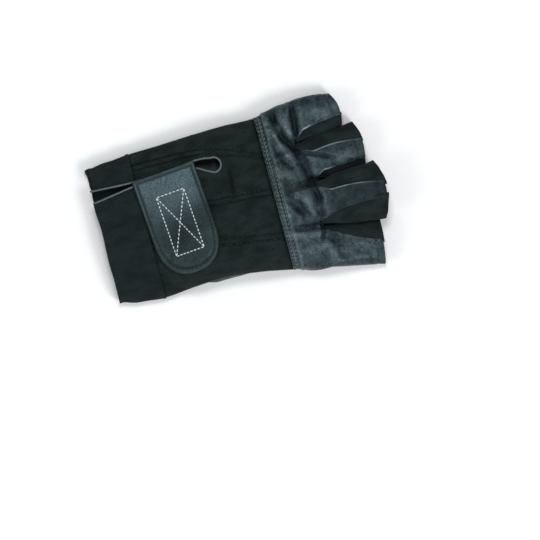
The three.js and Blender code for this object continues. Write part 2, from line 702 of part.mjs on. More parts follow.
/** The whole glove, centred on its footprint and resting on the ground. */
function glove() {
  const strips = FINGERS.slice(1).map((_, n) => sideStrip(n));
  const room = strips.flatMap(stripRoom);
  const knuckles = leatherPanel({
    ...KNUCKLE_CELLS, back: true, seam: KNUCKLE_SEAM, folds: BACK_FOLDS, proud: LAP,
  });
  const palm = leatherPanel({
    ...PALM_CELLS, back: false, seam: HEEL_SEAM, folds: PALM_FOLDS, proud: 0,
  });
  const thumbBack = cut(thumbHalf(true, THUMB_BACK_SECTIONS), ...thumbVents());
  const thumbFront = cut(thumbHalf(false, THUMB_FRONT_SECTIONS), thumbDoor());
  const group = new THREE.Group();
  group.add(
    piece("cuff_band", cuffBand(), MATERIALS.elastic),
    piece("back_panel", backPanel(), MATERIALS.stretch),
    piece("knuckle_panel", cut(knuckles, ...room), MATERIALS.knuckle),
    piece("palm_panel", cut(palm, ...room, thumbDoor()), MATERIALS.palm),
    piece("palm_heel", palmHeel(), MATERIALS.palm),
    piece("thumb_back", thumbBack, MATERIALS.thumb),
    piece("thumb_front", thumbFront, MATERIALS.thumb),
    piece("side_strip_pinky_ring", strips[0], MATERIALS.stretch),
    piece("side_strip_ring_middle", strips[1], MATERIALS.stretch),
    piece("side_strip_middle_index", strips[2], MATERIALS.stretch),
    piece("slit_binding", slitBinding(), MATERIALS.binding),
    piece("wrist_strap", wristStrap(), MATERIALS.strap),
  );
  const box = new THREE.Box3().setFromObject(group);
  const centre = box.getCenter(new THREE.Vector3());
  group.position.set(-centre.x, -centre.y, -box.min.z);
  return group;
}

export default glove();
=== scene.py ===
"""A fingerless wheelchair glove for the left hand, lying palm down, its thumb folded under it.

The glove is drawn as its maker would cut it: pattern millimetres, with y from the wrist to the
finger ends, x towards the thumb side and z up. Form.place turns them into metres of the frame.
"""

import logging
import math
from dataclasses import dataclass
from enum import Enum
from functools import cached_property
from typing import Callable, Sequence

import bmesh
import bpy
from mathutils import Matrix, Vector, noise


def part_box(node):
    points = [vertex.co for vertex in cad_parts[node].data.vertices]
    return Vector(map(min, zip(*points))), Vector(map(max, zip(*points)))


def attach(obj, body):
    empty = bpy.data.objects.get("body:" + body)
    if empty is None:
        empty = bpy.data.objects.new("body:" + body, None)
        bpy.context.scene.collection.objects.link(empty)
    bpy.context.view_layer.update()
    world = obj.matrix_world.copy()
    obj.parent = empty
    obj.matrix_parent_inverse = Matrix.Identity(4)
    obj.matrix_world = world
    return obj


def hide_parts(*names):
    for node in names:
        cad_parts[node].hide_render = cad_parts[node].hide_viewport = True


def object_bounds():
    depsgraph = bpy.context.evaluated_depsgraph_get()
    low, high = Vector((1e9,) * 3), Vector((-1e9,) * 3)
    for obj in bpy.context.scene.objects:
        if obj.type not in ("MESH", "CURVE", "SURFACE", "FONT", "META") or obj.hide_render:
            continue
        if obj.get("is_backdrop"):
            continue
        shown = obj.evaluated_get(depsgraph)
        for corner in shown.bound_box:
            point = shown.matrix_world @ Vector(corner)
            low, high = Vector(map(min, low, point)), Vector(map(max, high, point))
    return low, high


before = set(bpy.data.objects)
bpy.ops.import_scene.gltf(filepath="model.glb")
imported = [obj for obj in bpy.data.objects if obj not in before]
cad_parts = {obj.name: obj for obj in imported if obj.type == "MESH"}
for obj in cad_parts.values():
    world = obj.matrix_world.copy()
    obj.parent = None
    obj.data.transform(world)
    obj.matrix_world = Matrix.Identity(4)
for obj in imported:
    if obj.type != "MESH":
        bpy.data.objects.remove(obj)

LOG = logging.getLogger("glove")
MM = 0.001

CUFF_SEAM = 29.0
HEEL_SEAM = 66.0
KNUCKLE_SEAM = 114.0
FINGER_ROOTS = 140.0
LAP = 1.0
DIP = 2.6
NEAR_ROW, FAR_ROW = 1.7, 4.2
CHANNELS = ("first", "second", "third")
UP = Vector((0.0, 0.0, 1.0))

Row = dict[str, float]
Triple = tuple[float, float, float]
Column = tuple[int, float, bool]
Vert = bmesh.types.BMVert
Socket = bpy.types.NodeSocket
Material = bpy.types.Material
Piece = bpy.types.Object


def lerp(a: float, b: float, t: float) -> float:
    """The value a share t of the way from a to b."""
    return a + (b - a) * t


def clamp(value: float, low: float, high: float) -> float:
    """The value, kept between two limits."""
    return max(low, min(high, value))


def smoothstep(start: float, end: float, at: float) -> float:
    """A soft step from 0 at start to 1 at end."""
    t = clamp((at - start) / (end - start), 0.0, 1.0)
    return t * t * (3 - 2 * t)


def bell(distance: float, wide: float) -> float:
    """A soft bump of height 1 that has died away at about twice its width."""
    return math.exp(-((distance / wide) ** 2))


def read(table: Sequence[Row], key: str, column: str, at: float) -> float:
    """Reads a column of a table on a smooth cubic through its rows.

    Args:
        table: the rows, in rising order of the key.
        key: the column that the place is counted along.
        column: the column to read.
        at: the place along the key.

    Returns:
        The column's value there.
    """
    last = len(table) - 1
    place = clamp(at, table[0][key], table[last][key])
    row = 0
    while row < last - 1 and place > table[row + 1][key]:
        row += 1

    def slope(n: int) -> float:
        """How fast the column changes at a row."""
        before, after = table[max(n - 1, 0)], table[min(n + 1, last)]
        return (after[column] - before[column]) / (after[key] - before[key])

    span = table[row + 1][key] - table[row][key]
    t = (place - table[row][key]) / span
    rise = t * t * (3 - 2 * t)
    bend = span * t * (1 - t) * ((1 - t) * slope(row) - t * slope(row + 1))
    return lerp(table[row][column], table[row + 1][column], rise) + bend


def rows(columns: str, *values: tuple[float, ...]) -> list[Row]:
    """Makes a table from its column names and its rows of numbers."""
    names = columns.split()
    return [dict(zip(names, row)) for row in values]


HAND = rows(
    "y left right edge top",
    (0, -43.5, 43.8, 6.2, 14.5),
    (12, -46.3, 47.4, 6.6, 16.5),
    (29, -47.3, 48.6, 6.4, 16.0),
    (50, -47.9, 46.8, 6.8, 18.5),
    (72, -48.8, 46.0, 7.0, 20.0),
    (94, -49.3, 48.6, 7.0, 20.5),
    (114, -48.9, 52.4, 7.0, 20.0),
    (137, -52.6, 57.0, 7.0, 17.5),
    (150, -52.8, 58.5, 7.0, 16.5),
)
THUMB_HALF = rows("t half", (0, 16.5), (0.35, 20.0), (0.7, 19.2), (1, 17.8))
SLIT = rows(
    "y left right",
    (0, -30.1, -21.9),
    (14, -29.3, -23.9),
    (28, -28.8, -26.0),
    (48, -29.8, -27.1),
    (64, -31.2, -27.9),
    (70.5, -32.0, -27.0),
    (76, -31.9, -23.8),
    (80.8, -31.0, -21.4),
)
KEYHOLE_X, KEYHOLE_Y, KEYHOLE_RADIUS = -26.2, 81.6, 4.9
GROOVES = rows(
    "y first second third",
    (29, -38.0, -8.0, 14.0),
    (75, -36.8, -2.8, 23.8),
    (90, -32.5, -1.6, 26.2),
    (114, -24.0, 0.0, 30.0),
)
WRIST_EDGE = rows(
    "x y",
    (-43.5, 2.6),
    (-34, 3.0),
    (-26, 1.8),
    (-21, 0.2),
    (-6, 0.9),
    (17, 0.3),
    (30, 0.6),
    (43.8, 0.0),
)


def bank(y: float, side: int, grown: float = 0.0) -> float:
    """The edge of the slit, which ends in a round keyhole.

    Args:
        y: the distance along the hand.
        side: -1 for the little finger's edge and 1 for the thumb's.
        grown: how much wider than the slit to stay.

    Returns:
        The edge's place across the hand.
    """
    if y > SLIT[-1]["y"]:
        reach = (KEYHOLE_RADIUS + grown) ** 2 - (y - KEYHOLE_Y) ** 2
        return KEYHOLE_X + side * math.sqrt(max(reach, 0.0))
    return read(SLIT, "y", "left" if side < 0 else "right", y) + side * grown


class Side(Enum):
    """The two sides of the glove."""

    BACK = "back"
    PALM = "palm"


@dataclass(frozen=True)
class Edge:
    """Where the leather of a stall starts or ends, as a share of its half width along it."""

    root: float
    tip: float
    bow: float = 0.0
    flare: float = 0.0

    def at(self, t: float) -> float:
        """The share at a place along the stall, from 0 at its root to 1 at its open end."""
        bowed = self.bow * math.sin(math.pi * clamp(t, 0.0, 1.0))
        return lerp(self.root, self.tip, t) + bowed + self.flare * (1 - smoothstep(0.0, 0.2, t))


@dataclass(frozen=True)
class Finger:
    """One finger stall: its middle, half width and height at root and tip, and its leather.

    The open end stands forward by its crown, and the stall swells sideways halfway along. The rim
    and glint say how brightly a highlight is painted on its leather's upper edge and at its lower
    crotch, and its darkening how much darker its leather is painted.
    """

    name: str
    root_x: float
    root_half: float
    root_tall: float
    root_y: tuple[float, float]
    tip_x: float
    tip_half: float
    tip_tall: float
    tip_y: tuple[float, float]
    crown: float
    swell: float
    rim: float
    glint: float
    darkening: float
    back: tuple[Edge, Edge]
    front: tuple[Edge, Edge]

    def span(self, side: Side, t: float) -> tuple[float, float]:
        """The two angles round the stall that its leather spans on a side.

        Args:
            side: the back or the palm.
            t: the share along the stall.

        Returns:
            The angle at which the leather starts and the one at which it ends.
        """
        if side is Side.BACK:
            return math.acos(self.back[0].at(t)), math.acos(self.back[1].at(t))
        whole = 2 * math.pi
        return whole - math.acos(self.front[0].at(t)), whole - math.acos(self.front[1].at(t))

    def long(self) -> float:
        """The stall's length along its middle."""
        return sum(self.tip_y) / 2 + self.crown - sum(self.root_y) / 2


FINGERS = (
    Finger(
        name="pinky", root_x=-39.9, root_half=12.7, root_tall=15.0, root_y=(136.0, 138.0),
        tip_x=-40.6, tip_half=10.5, tip_tall=12.5, tip_y=(166.3, 167.6),
        crown=2.8, swell=1.8, rim=0.0, glint=1.0, darkening=0.0,
        back=(Edge(-1, -1), Edge(0.68, 0.42, -0.07, 0.2)),
        front=(Edge(-1, -1), Edge(0.62, 0.62)),
    ),
    Finger(
        name="ring", root_x=-12.3, root_half=12.3, root_tall=15.5, root_y=(138.0, 144.5),
        tip_x=-15.9, tip_half=13.2, tip_tall=13.5, tip_y=(175.3, 176.3),
        crown=3.0, swell=0.0, rim=0.75, glint=1.0, darkening=0.35,
        back=(Edge(-0.42, -0.22, -0.16, -0.28), Edge(0.68, 0.8, 0.0, 0.2)),
        front=(Edge(-0.62, -0.62), Edge(0.62, 0.62)),
    ),
    Finger(
        name="middle", root_x=15.3, root_half=12.7, root_tall=16.0, root_y=(144.5, 140.5),
        tip_x=16.9, tip_half=17.4, tip_tall=13.0, tip_y=(181.5, 180.0),
        crown=5.0, swell=0.0, rim=0.8, glint=0.0, darkening=0.72,
        back=(Edge(-0.52, -0.3, -0.11, -0.28), Edge(0.74, 0.35, -0.13, 0.14)),
        front=(Edge(-0.62, -0.62), Edge(0.62, 0.62)),
    ),
    Finger(
        name="index", root_x=43.8, root_half=13.2, root_tall=15.5, root_y=(140.5, 139.0),
        tip_x=49.9, tip_half=13.9, tip_tall=13.5, tip_y=(176.0, 173.0),
        crown=0.6, swell=0.0, rim=0.15, glint=0.0, darkening=0.0,
        back=(Edge(-0.92, -0.15, 0.12), Edge(1, 1)),
        front=(Edge(-0.55, -0.55), Edge(1, 1)),
    ),
)


@dataclass(frozen=True)
class Form:
    """The glove's shape: every skin is a point of the hand or of a finger stall."""

    top_fullness: float = 0.8
    sole_fullness: float = 0.5
    sole_flat: float = 1.12
    stall_top: float = 0.85
    stall_sole: float = 0.6
    thumb_base: tuple[float, float] = (30.5, 66.0)
    thumb_tip: tuple[float, float] = (19.0, 139.0)
    thumb_tall: float = 9.6
    thumb_rim: float = 4.6
    drape: float = 10.0

    def shift(self) -> Vector:
        """How far the frame's origin lies from the pattern's, in millimetres.

        Returns:
            The shift from the pattern to the frame.
        """
        low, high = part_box("cuff_band")
        deep = (high[1] - low[1]) / MM
        middle = (read(HAND, "y", "left", deep) + read(HAND, "y", "right", deep)) / 2
        return Vector(((low[0] + high[0]) / 2 / MM - middle, low[1] / MM, 0.0))

    def thumb_reach(self, x: float, y: float) -> float:
        """How far a point is from the thumb's middle line, in thumb half widths.

        Args:
            x: the place across the hand.
            y: the place along the hand.

        Returns:
            The distance, which is 1 at the thumb's rim.
        """
        base, tip = Vector(self.thumb_base), Vector(self.thumb_tip)
        run, away = tip - base, Vector((x, y)) - base
        along = away.dot(run) / run.length_squared
        beyond_tip = max(along - 1, 0) * run.length
        before_base = max(-along, 0) * run.length
        across = (away - run * along).length
        softened = math.hypot(across, before_base, beyond_tip / 2)
        return softened / read(THUMB_HALF, "t", "half", clamp(along, 0, 1))

    def lift(self, x: float, y: float, edge_share: float, side: Side) -> float:
        """How far the folded thumb lifts the palm, or the back of the hand over it.

        Args:
            x: the place across the hand.
            y: the place along the hand.
            edge_share: the share of the half width, without its sign.
            side: the back or the palm.

        Returns:
            The lift.
        """
        reach = self.thumb_reach(x, y)
        palm = self.drape * (1 - smoothstep(1.0, 1.95, reach))
        if side is Side.PALM:
            return palm
        eased = self.drape * (1 - smoothstep(0.6, 2.4, reach))
        return lerp(eased, palm, edge_share**4)

    def hand(self, s: float, y: float, side: Side, inset: float = 0.0) -> Vector:
        """A point of the hand.

        Args:
            s: the share of the half width, from -1 at the little finger side to 1.
            y: the distance along the hand.
            side: the back or the palm.
            inset: how far inside the outer skin.

        Returns:
            The point, in pattern millimetres.
        """
        left, right = read(HAND, "y", "left", y), read(HAND, "y", "right", y)
        edge, top = read(HAND, "y", "edge", y), read(HAND, "y", "top", y)
        x = (left + right) / 2 + ((right - left) / 2 - inset) * s
        arch = math.sqrt(max(1 - s * s, 0.0))
        if side is Side.BACK:
            z = edge + (top - edge - inset) * arch**self.top_fullness
        else:
            z = edge - (edge - inset) * min(1.0, self.sole_flat * arch**self.sole_fullness)
        return Vector((x, y, z + self.lift(x, y, abs(s), side)))

    def share(self, x: float, y: float) -> float:
        """The share of the hand's half width that lies at x."""
        left, right = read(HAND, "y", "left", y), read(HAND, "y", "right", y)
        return clamp((x - (left + right) / 2) / ((right - left) / 2), -1.0, 1.0)

    def back_height(self, x: float, y: float) -> float:
        """The height of the back of the hand over a point of the pattern."""
        return self.hand(self.share(x, y), y, Side.BACK).z

    def stall(self, finger: Finger, angle: float, t: float, inset: float = 0.0) -> Vector:
        """A point of a finger stall.

        Args:
            finger: the stall.
            angle: 0 faces the thumb side, and a quarter turn the back of the hand.
            t: 0 at the root and 1 at the open end.
            inset: how far inside the outer skin.

        Returns:
            The point, in pattern millimetres.
        """
        q, s = math.cos(angle), math.sin(angle)
        share = (q + 1) / 2
        half = lerp(finger.root_half, finger.tip_half, t) - inset
        tall = lerp(finger.root_tall, finger.tip_tall, t) / 2
        middle = lerp(finger.root_x, finger.tip_x, t)
        tip_y = lerp(*finger.tip_y, share) + finger.crown * (1 - q * q)
        y = lerp(lerp(*finger.root_y, share), tip_y, t)
        fullness = self.stall_top if s > 0 else self.stall_sole
        height = tall + (tall - inset) * math.copysign(abs(s) ** fullness, s)
        swollen = finger.swell * math.sin(math.pi * clamp(t, 0, 1)) * min(q, 0.0)
        return Vector((middle + half * q + swollen, y, self.lift(middle, y, 0.0, Side.PALM) + height))


FORM = Form()
SHIFT = FORM.shift()


def placed(point: Vector) -> Vector:
    """A pattern point in metres of the frame."""
    return (point + SHIFT) * MM


@dataclass(frozen=True)
class Fold:
    """A crease of the hide from one pattern point to another; a negative depth is a ridge."""

    start: tuple[float, float]
    end: tuple[float, float]
    wide: float
    deep: float

    def depth(self, x: float, y: float) -> float:
        """How far the crease sinks the skin at a point, with a soft lip on both sides.

        Args:
            x: the place across the hand.
            y: the place along the hand.

        Returns:
            The depth.
        """
        run_x, run_y = self.end[0] - self.start[0], self.end[1] - self.start[1]
        far_x, far_y = x - self.start[0], y - self.start[1]
        t = clamp((far_x * run_x + far_y * run_y) / (run_x * run_x + run_y * run_y), 0, 1)
        distance = math.hypot(far_x - run_x * t, far_y - run_y * t)
        if distance > 5 * self.wide:
            return 0.0
        taper = smoothstep(0, 0.15, t) * (1 - smoothstep(0.8, 1, t)) * 0.6 + 0.4
        lip = 0.25 * bell(distance - 2 * self.wide, self.wide)
        return self.deep * taper * (bell(distance, self.wide) - lip)


def creases(*lines: tuple[float, ...]) -> tuple[Fold, ...]:
    """Makes folds of rows of the start's x and y, the end's x and y, the width and the depth."""
    return tuple(Fold((line[0], line[1]), (line[2], line[3]), line[4], line[5]) for line in lines)


@dataclass(frozen=True)
class Relief:
    """The unevenness of a hide or cloth: folds, soft dents and fine crease lines."""

    folds: tuple[Fold, ...] = ()
    dent: float = 0.5
    dent_size: float = 15.0
    crease: float = 0.35
    crease_long: float = 11.0
    crease_short: float = 4.0
    turn: float = 0.0
    seed: float = 0.0

    def folded(self, x: float, y: float) -> float:
        """How deep the folds alone sink the skin at a pattern point.

        Args:
            x: the place across the hand.
            y: the place along the hand.

        Returns:
            The depth.
        """
        aside = 1.6 * noise.noise(Vector((x / 8, y / 8, self.seed + 20)))
        ahead = 1.6 * noise.noise(Vector((x / 8, y / 8, self.seed + 31)))
        uneven = 1.0 + 0.8 * noise.noise(Vector((x / 7, y / 7, self.seed + 42)))
        return uneven * sum(fold.depth(x + aside, y + ahead) for fold in self.folds)

    def height(self, x: float, y: float) -> float:
        """The height of the relief at a pattern point, in millimetres.

        Args:
            x: the place across the hand.
            y: the place along the hand.

        Returns:
            The height.
        """
        total = -self.folded(x, y)
        total += self.dent * noise.noise(Vector((x / self.dent_size, y / self.dent_size, self.seed)))
        cos, sin = math.cos(self.turn), math.sin(self.turn)
        along = (x * cos + y * sin) / self.crease_long
        across = (y * cos - x * sin) / self.crease_short
        warp = 0.5 * noise.noise(Vector((along * 0.7, across * 0.5, self.seed + 7)))
        line = abs(noise.noise(Vector((along, across + warp, self.seed + 3))))
        where = 0.5 + 0.5 * noise.noise(Vector((x / 22, y / 22, self.seed + 11)))
        return total - self.crease * where * max(0.0, 1 - line * 5) ** 2


class Cloth:
    """A grid of cloth or hide that is laid onto the glove and then given its thickness."""

    def __init__(self, columns: int, rows_: int) -> None:
        """Starts a flat grid with its own place, cut and edge layers.

        Args:
            columns: how many cells it is wide.
            rows_: how many cells it is long.
        """
        self.mesh = bmesh.new()
        bmesh.ops.create_grid(self.mesh, x_segments=columns, y_segments=rows_, size=0.5)
        self.uv = self.mesh.loops.layers.uv.new("cut")
        # The next three layers hold where a piece's colour is painted: paler at its edges as painted
        # highlight and wear, paler as painted highlight, and darker as painted shade.
        self.edge = self.mesh.verts.layers.float.new("edge")
        self.fade = self.mesh.verts.layers.float.new("fade")
        self.sunk = self.mesh.verts.layers.float.new("sunk")
        self.column = self.mesh.verts.layers.float.new("column")
        self.row = self.mesh.verts.layers.float.new("row")
        for vert in self.mesh.verts:
            vert[self.column] = (vert.co.x + 0.5) * columns
            vert[self.row] = (vert.co.y + 0.5) * rows_

    def cells(self, drop: Callable[[float, float], bool]) -> None:
        """Drops the cells whose middle, in columns and rows, the test names.

        Args:
            drop: the test, given a cell's column and row.
        """
        doomed = []
        for face in self.mesh.faces:
            column = sum(v[self.column] for v in face.verts) / len(face.verts)
            row = sum(v[self.row] for v in face.verts) / len(face.verts)
            if drop(column, row):
                doomed.append(face)
        bmesh.ops.delete(self.mesh, geom=doomed, context="FACES")

    def slit(self, column: int, last_row: float) -> None:
        """Opens the grid along a column line, from its first row up to a row.

        Args:
            column: the column line.
            last_row: the last row that opens.
        """
        seam = []
        for edge in self.mesh.edges:
            on_line = all(round(v[self.column]) == column for v in edge.verts)
            if on_line and max(v[self.row] for v in edge.verts) <= last_row:
                seam.append(edge)
        bmesh.ops.split_edges(self.mesh, edges=seam)

    def leaning(self, vert: Vert, column: int) -> int:
        """Which side of a column line a point belongs to: -1, 0 on the line, or 1.

        Args:
            vert: the point of the grid.
            column: the column line.

        Returns:
            The side.
        """
        own = vert[self.column] - column
        if abs(own) > 1e-3:
            return -1 if own < 0 else 1
        faces = [[v[self.column] for v in face.verts] for face in vert.link_faces]
        middles = [sum(face) / len(face) - column for face in faces]
        if min(middles) > 0:
            return 1
        if max(middles) < 0:
            return -1
        return 0

    def lay(self, place: Callable[[Vert], Vector]) -> None:
        """Moves each point to its place, in pattern millimetres."""
        for vert in self.mesh.verts:
            vert.co = place(vert)

    def cut_map(self, cut: Callable[[Vert], tuple[float, float]]) -> None:
        """Writes the flat cut of the cloth, in millimetres, as its UV map.

        Args:
            cut: the place on the flat cut of a point of the grid.
        """
        for face in self.mesh.faces:
            for loop in face.loops:
                loop[self.uv].uv = cut(loop.vert)

    def cut_flat(self) -> dict[Vert, Vector]:
        """Writes the laid points, seen from above, as the flat cut.

        Returns:
            The laid points.
        """
        laid = {vert: vert.co.copy() for vert in self.mesh.verts}
        self.cut_map(lambda vert: (laid[vert].x, laid[vert].y))
        return laid

    def sense(self, side: Side) -> int:
        """Which way the laid grid faces.

        Args:
            side: the side of the glove that it covers.

        Returns:
            1 where its normals look out of the glove and -1 where they look in.
        """
        self.mesh.normal_update()
        up = sum(face.normal.z * face.calc_area() for face in self.mesh.faces) > 0
        return 1 if up == (side is Side.BACK) else -1

    def emboss(
        self,
        height: Callable[[Vert], float],
        upright: Callable[[Vert], float] = lambda vert: 0.0,
    ) -> None:
        """Raises each point by a height in millimetres.

        Args:
            height: the height along the point's normal.
            upright: how far the way out is turned from the normal to the nearest vertical.
        """
        self.mesh.normal_update()
        moves = []
        for vert in self.mesh.verts:
            vertical = Vector((0.0, 0.0, math.copysign(1.0, vert.normal.z)))
            moves.append((vert, vert.normal.lerp(vertical, upright(vert)), height(vert)))
        for vert, way, rise in moves:
            vert.co += way * rise

    def area(self) -> float:
        """The area of the cloth, in square metres."""
        return sum(face.calc_area() for face in self.mesh.faces) * MM * MM

    def finish(
        self,
        name: str,
        thick: float,
        outside: Material,
        inside: Material,
        lowest: float = 0.0,
    ) -> Piece:
        """Turns the cloth into a piece with its thickness grown inwards.

        Args:
            name: the piece's name.
            thick: its thickness in millimetres.
            outside: the material of the outer skin and the edges.
            inside: the material of the inner skin.
            lowest: how far above the ground it stays, in millimetres.

        Returns:
            The piece, at the origin of the frame.
        """
        for vert in self.mesh.verts:
            vert.co = placed(vert.co)
            vert.co.z = max(vert.co.z, lowest * MM)
        piece = joined(name, self.mesh, outside, inside)
        wall = piece.modifiers.new("wall", "SOLIDIFY")
        wall.thickness = thick * MM
        wall.offset = -1.0
        wall.use_even_offset = False
        wall.material_offset = 1
        wall.material_offset_rim = 0
        return piece


def joined(name: str, mesh: bmesh.types.BMesh, *materials: Material) -> Piece:
    """Makes a smooth shaded object of a finished bmesh.

    Args:
        name: the object's name.
        mesh: the bmesh, in metres, which is freed.
        materials: the object's materials, in order.

    Returns:
        The object, linked to the scene.
    """
    data = bpy.data.meshes.new(name)
    mesh.to_mesh(data)
    mesh.free()
    for material in materials:
        data.materials.append(material)
    data.shade_smooth()
    piece = bpy.data.objects.new(name, data)
    bpy.context.scene.collection.objects.link(piece)
    return piece


def turn_out(piece: Piece, looks: Callable[[Vector], Vector]) -> None:
    """Turns an open skin so that most of it faces the right way.

    Args:
        piece: the skin's object.
        looks: the way that its outside has to look from a point of it.
    """
    mesh = bmesh.new()
    mesh.from_mesh(piece.data)
    total = sum(f.normal.dot(looks(f.calc_center_median())) * f.calc_area() for f in mesh.faces)
    if total < 0:
        bmesh.ops.reverse_faces(mesh, faces=mesh.faces[:])
        mesh.to_mesh(piece.data)
    mesh.free()


def outward(piece: Piece, side: Side) -> None:
    """Turns an open skin up on the back of the glove, and down on its palm."""
    turn_out(piece, lambda spot: UP if side is Side.BACK else -UP)


class Weave(Enum):
    """How a cloth is made."""

    RIB = "rib"
    TERRY = "terry"


class Graph:
    """A material's nodes, made and linked by short calls."""

    def __init__(self, name: str) -> None:
        """Starts a material with only its surface shader and output.

        Args:
            name: the material's name.
        """
        self.material = bpy.data.materials.new(name)
        self.material.use_nodes = True
        self.tree = self.material.node_tree
        self.shader = self.tree.nodes["Principled BSDF"]

    def add(self, kind: str, **settings: object) -> bpy.types.Node:
        """Adds a node and sets its properties.

        Args:
            kind: the node's type.
            settings: the properties to set.

        Returns:
            The node.
        """
        node = self.tree.nodes.new(kind)
        for key, value in settings.items():
            setattr(node, key, value)
        return node

    def link(self, start: Socket, end: Socket) -> None:
        """Links an output to an input."""
        self.tree.links.new(start, end)

    def place(self) -> Socket:
        """The point on the object, in metres."""
        return self.add("ShaderNodeTexCoord").outputs["Object"]

    def speckle(self, scale: float, detail: float = 3.0, stretch: Triple = (1, 1, 1)) -> Socket:
        """A noise on the object's own coordinates, stretched along its axes.

        Args:
            scale: how many specks lie along a metre.
            detail: how many finer layers are added.
            stretch: the factor along each axis.

        Returns:
            The noise, from 0 to 1.
        """
        mapping = self.add("ShaderNodeMapping")
        mapping.inputs["Scale"].default_value = stretch
        self.link(self.place(), mapping.inputs["Vector"])
        node = self.add("ShaderNodeTexNoise")
        node.inputs["Scale"].default_value = scale
        node.inputs["Detail"].default_value = detail
        self.link(mapping.outputs["Vector"], node.inputs["Vector"])
        return node.outputs["Fac"]

    def ramp(self, value: Socket, low: float, high: float, start: float = 0.0, end: float = 1.0) -> Socket:
        """Maps a value from the range low to high onto start to end, softly.

        Args:
            value: the value to map.
            low: the low end of its range.
            high: the high end of its range.
            start: what the low end becomes.
            end: what the high end becomes.

        Returns:
            The mapped value.
        """
        node = self.add("ShaderNodeMapRange", interpolation_type="SMOOTHSTEP")
        for key, number in {"From Min": low, "From Max": high, "To Min": start, "To Max": end}.items():
            node.inputs[key].default_value = number
        self.link(value, node.inputs["Value"])
        return node.outputs["Result"]

    def feed(self, value: object, end: Socket) -> None:
        """Links a socket to an input, or sets the input to a number or a colour.

        Args:
            value: the socket, the number or the colour.
            end: the input.
        """
        if isinstance(value, Socket):
            self.link(value, end)
        else:
            end.default_value = (*value, 1.0) if isinstance(value, tuple) else value

    def math(self, operation: str, a: object, b: object = 0.0) -> Socket:
        """One step of arithmetic on sockets or numbers.

        Args:
            operation: the step's name.
            a: the first value.
            b: the second value.

        Returns:
            The result.
        """
        node = self.add("ShaderNodeMath", operation=operation)
        self.feed(a, node.inputs[0])
        self.feed(b, node.inputs[1])
        return node.outputs[0]

    def blend(self, share: Socket, a: object, b: object) -> Socket:
        """Mixes two colours, given as sockets or as red, green and blue.

        Args:
            share: the second colour's share.
            a: the first colour.
            b: the second colour.

        Returns:
            The mixed colour.
        """
        node = self.add("ShaderNodeMix", data_type="RGBA")
        self.link(share, node.inputs[0])
        self.feed(a, node.inputs[6])
        self.feed(b, node.inputs[7])
        return node.outputs[2]

    def bump(self, height: Socket, deep: float, strength: float, under: Socket | None = None) -> Socket:
        """Adds a bump, in metres, on top of another one.

        Args:
            height: the height, from 0 to 1.
            deep: the height that 1 stands for, in metres.
            strength: how much of the bump shows, from 0 to 1.
            under: the bump that it lies on.

        Returns:
            The turned normal.
        """
        node = self.add("ShaderNodeBump")
        node.inputs["Distance"].default_value = deep
        node.inputs["Strength"].default_value = strength
        self.link(height, node.inputs["Height"])
        if under is not None:
            self.link(under, node.inputs["Normal"])
        return node.outputs["Normal"]

    def attribute(self, name: str) -> Socket:
        """A piece's own value at each point."""
        return self.add("ShaderNodeAttribute", attribute_name=name).outputs["Fac"]

    def surface(self, values: dict[str, object]) -> None:
        """Sets inputs of the surface shader by their names."""
        for key, value in values.items():
            self.shader.inputs[key].default_value = value


@dataclass(frozen=True)
class Leather:
    """A hide: its colours, its gloss and the size of its grain."""

    name: str
    dark: Triple
    light: Triple
    highlight_and_wear: Triple
    roughness: float
    grain: float = 1.0
    relief: float = 1.0
    gloss: float = 0.5

    def material(self) -> Material:
        """Builds the hide's material.

        Returns:
            A material with pebbled grain, fine wrinkles, cloudy dye, painted highlight and wear on its
            edges and ridges, and painted shade in its hollows.
        """
        g = Graph(self.name)
        clouds = g.math("MULTIPLY", g.ramp(g.speckle(95, 3), 0.36, 0.66), 0.5)
        flecks = g.math("MULTIPLY", g.ramp(g.speckle(560, 5), 0.4, 0.62), 0.5)
        dyed = g.blend(g.math("ADD", clouds, flecks), self.dark, self.light)
        # Painted highlight: the dye is blended towards the pale colour where light falls on fold ridges,
        # the seam's puckers, the thumb's side of the knuckles and the strap's root.
        highlighted = g.math("MULTIPLY", g.attribute("fade"), g.ramp(g.speckle(1100, 3), 0.3, 0.7, 0.25, 1.0))
        # Painted highlight along raised rims and crotch edges, and wear at the thumb's rim and the heel's
        # edge, from the edge attribute.
        rim_highlight_and_wear = g.math("MULTIPLY", g.attribute("edge"), g.ramp(g.speckle(300, 3), 0.3, 0.6, 0.5, 1.0))
        shown = g.blend(g.math("MAXIMUM", highlighted, rim_highlight_and_wear), dyed, self.highlight_and_wear)
        # Painted shade: the sunk attribute darkens the dye in folds, stitch rows, hems, grooves and
        # crotches, and also holds the darker leather of some fingers.
        sunk = g.attribute("sunk")
        g.link(g.blend(sunk, shown, tuple(0.35 * c for c in self.dark)), g.shader.inputs["Base Color"])
        cells = g.add("ShaderNodeTexVoronoi", feature="DISTANCE_TO_EDGE")
        cells.inputs["Scale"].default_value = 1000 / self.grain
        g.link(g.place(), cells.inputs["Vector"])
        pebble = g.ramp(cells.outputs["Distance"], 0.0, 0.3)
        soft = g.bump(g.speckle(110, 1, (0.8, 1.2, 1.0)), 0.0014 * self.relief, 0.8)
        mottle = g.bump(g.speckle(900, 1, (0.9, 1.1, 1.0)), 0.00010 * self.relief, 0.8, soft)
        g.link(g.bump(pebble, 0.00007 * self.grain, 0.6, mottle), g.shader.inputs["Normal"])
        patchy = g.ramp(g.speckle(260, 4), 0.35, 0.65, self.roughness - 0.07, self.roughness + 0.14)
        in_pores = g.math("MULTIPLY", g.math("SUBTRACT", 1.0, pebble), 0.1)
        dull = g.math("ADD", g.math("ADD", patchy, in_pores), g.math("MULTIPLY", sunk, 0.25))
        g.link(dull, g.shader.inputs["Roughness"])
        g.surface({"Specular IOR Level": self.gloss, "Specular Tint": (0.66, 0.92, 1.0, 1.0)})
        return g.material


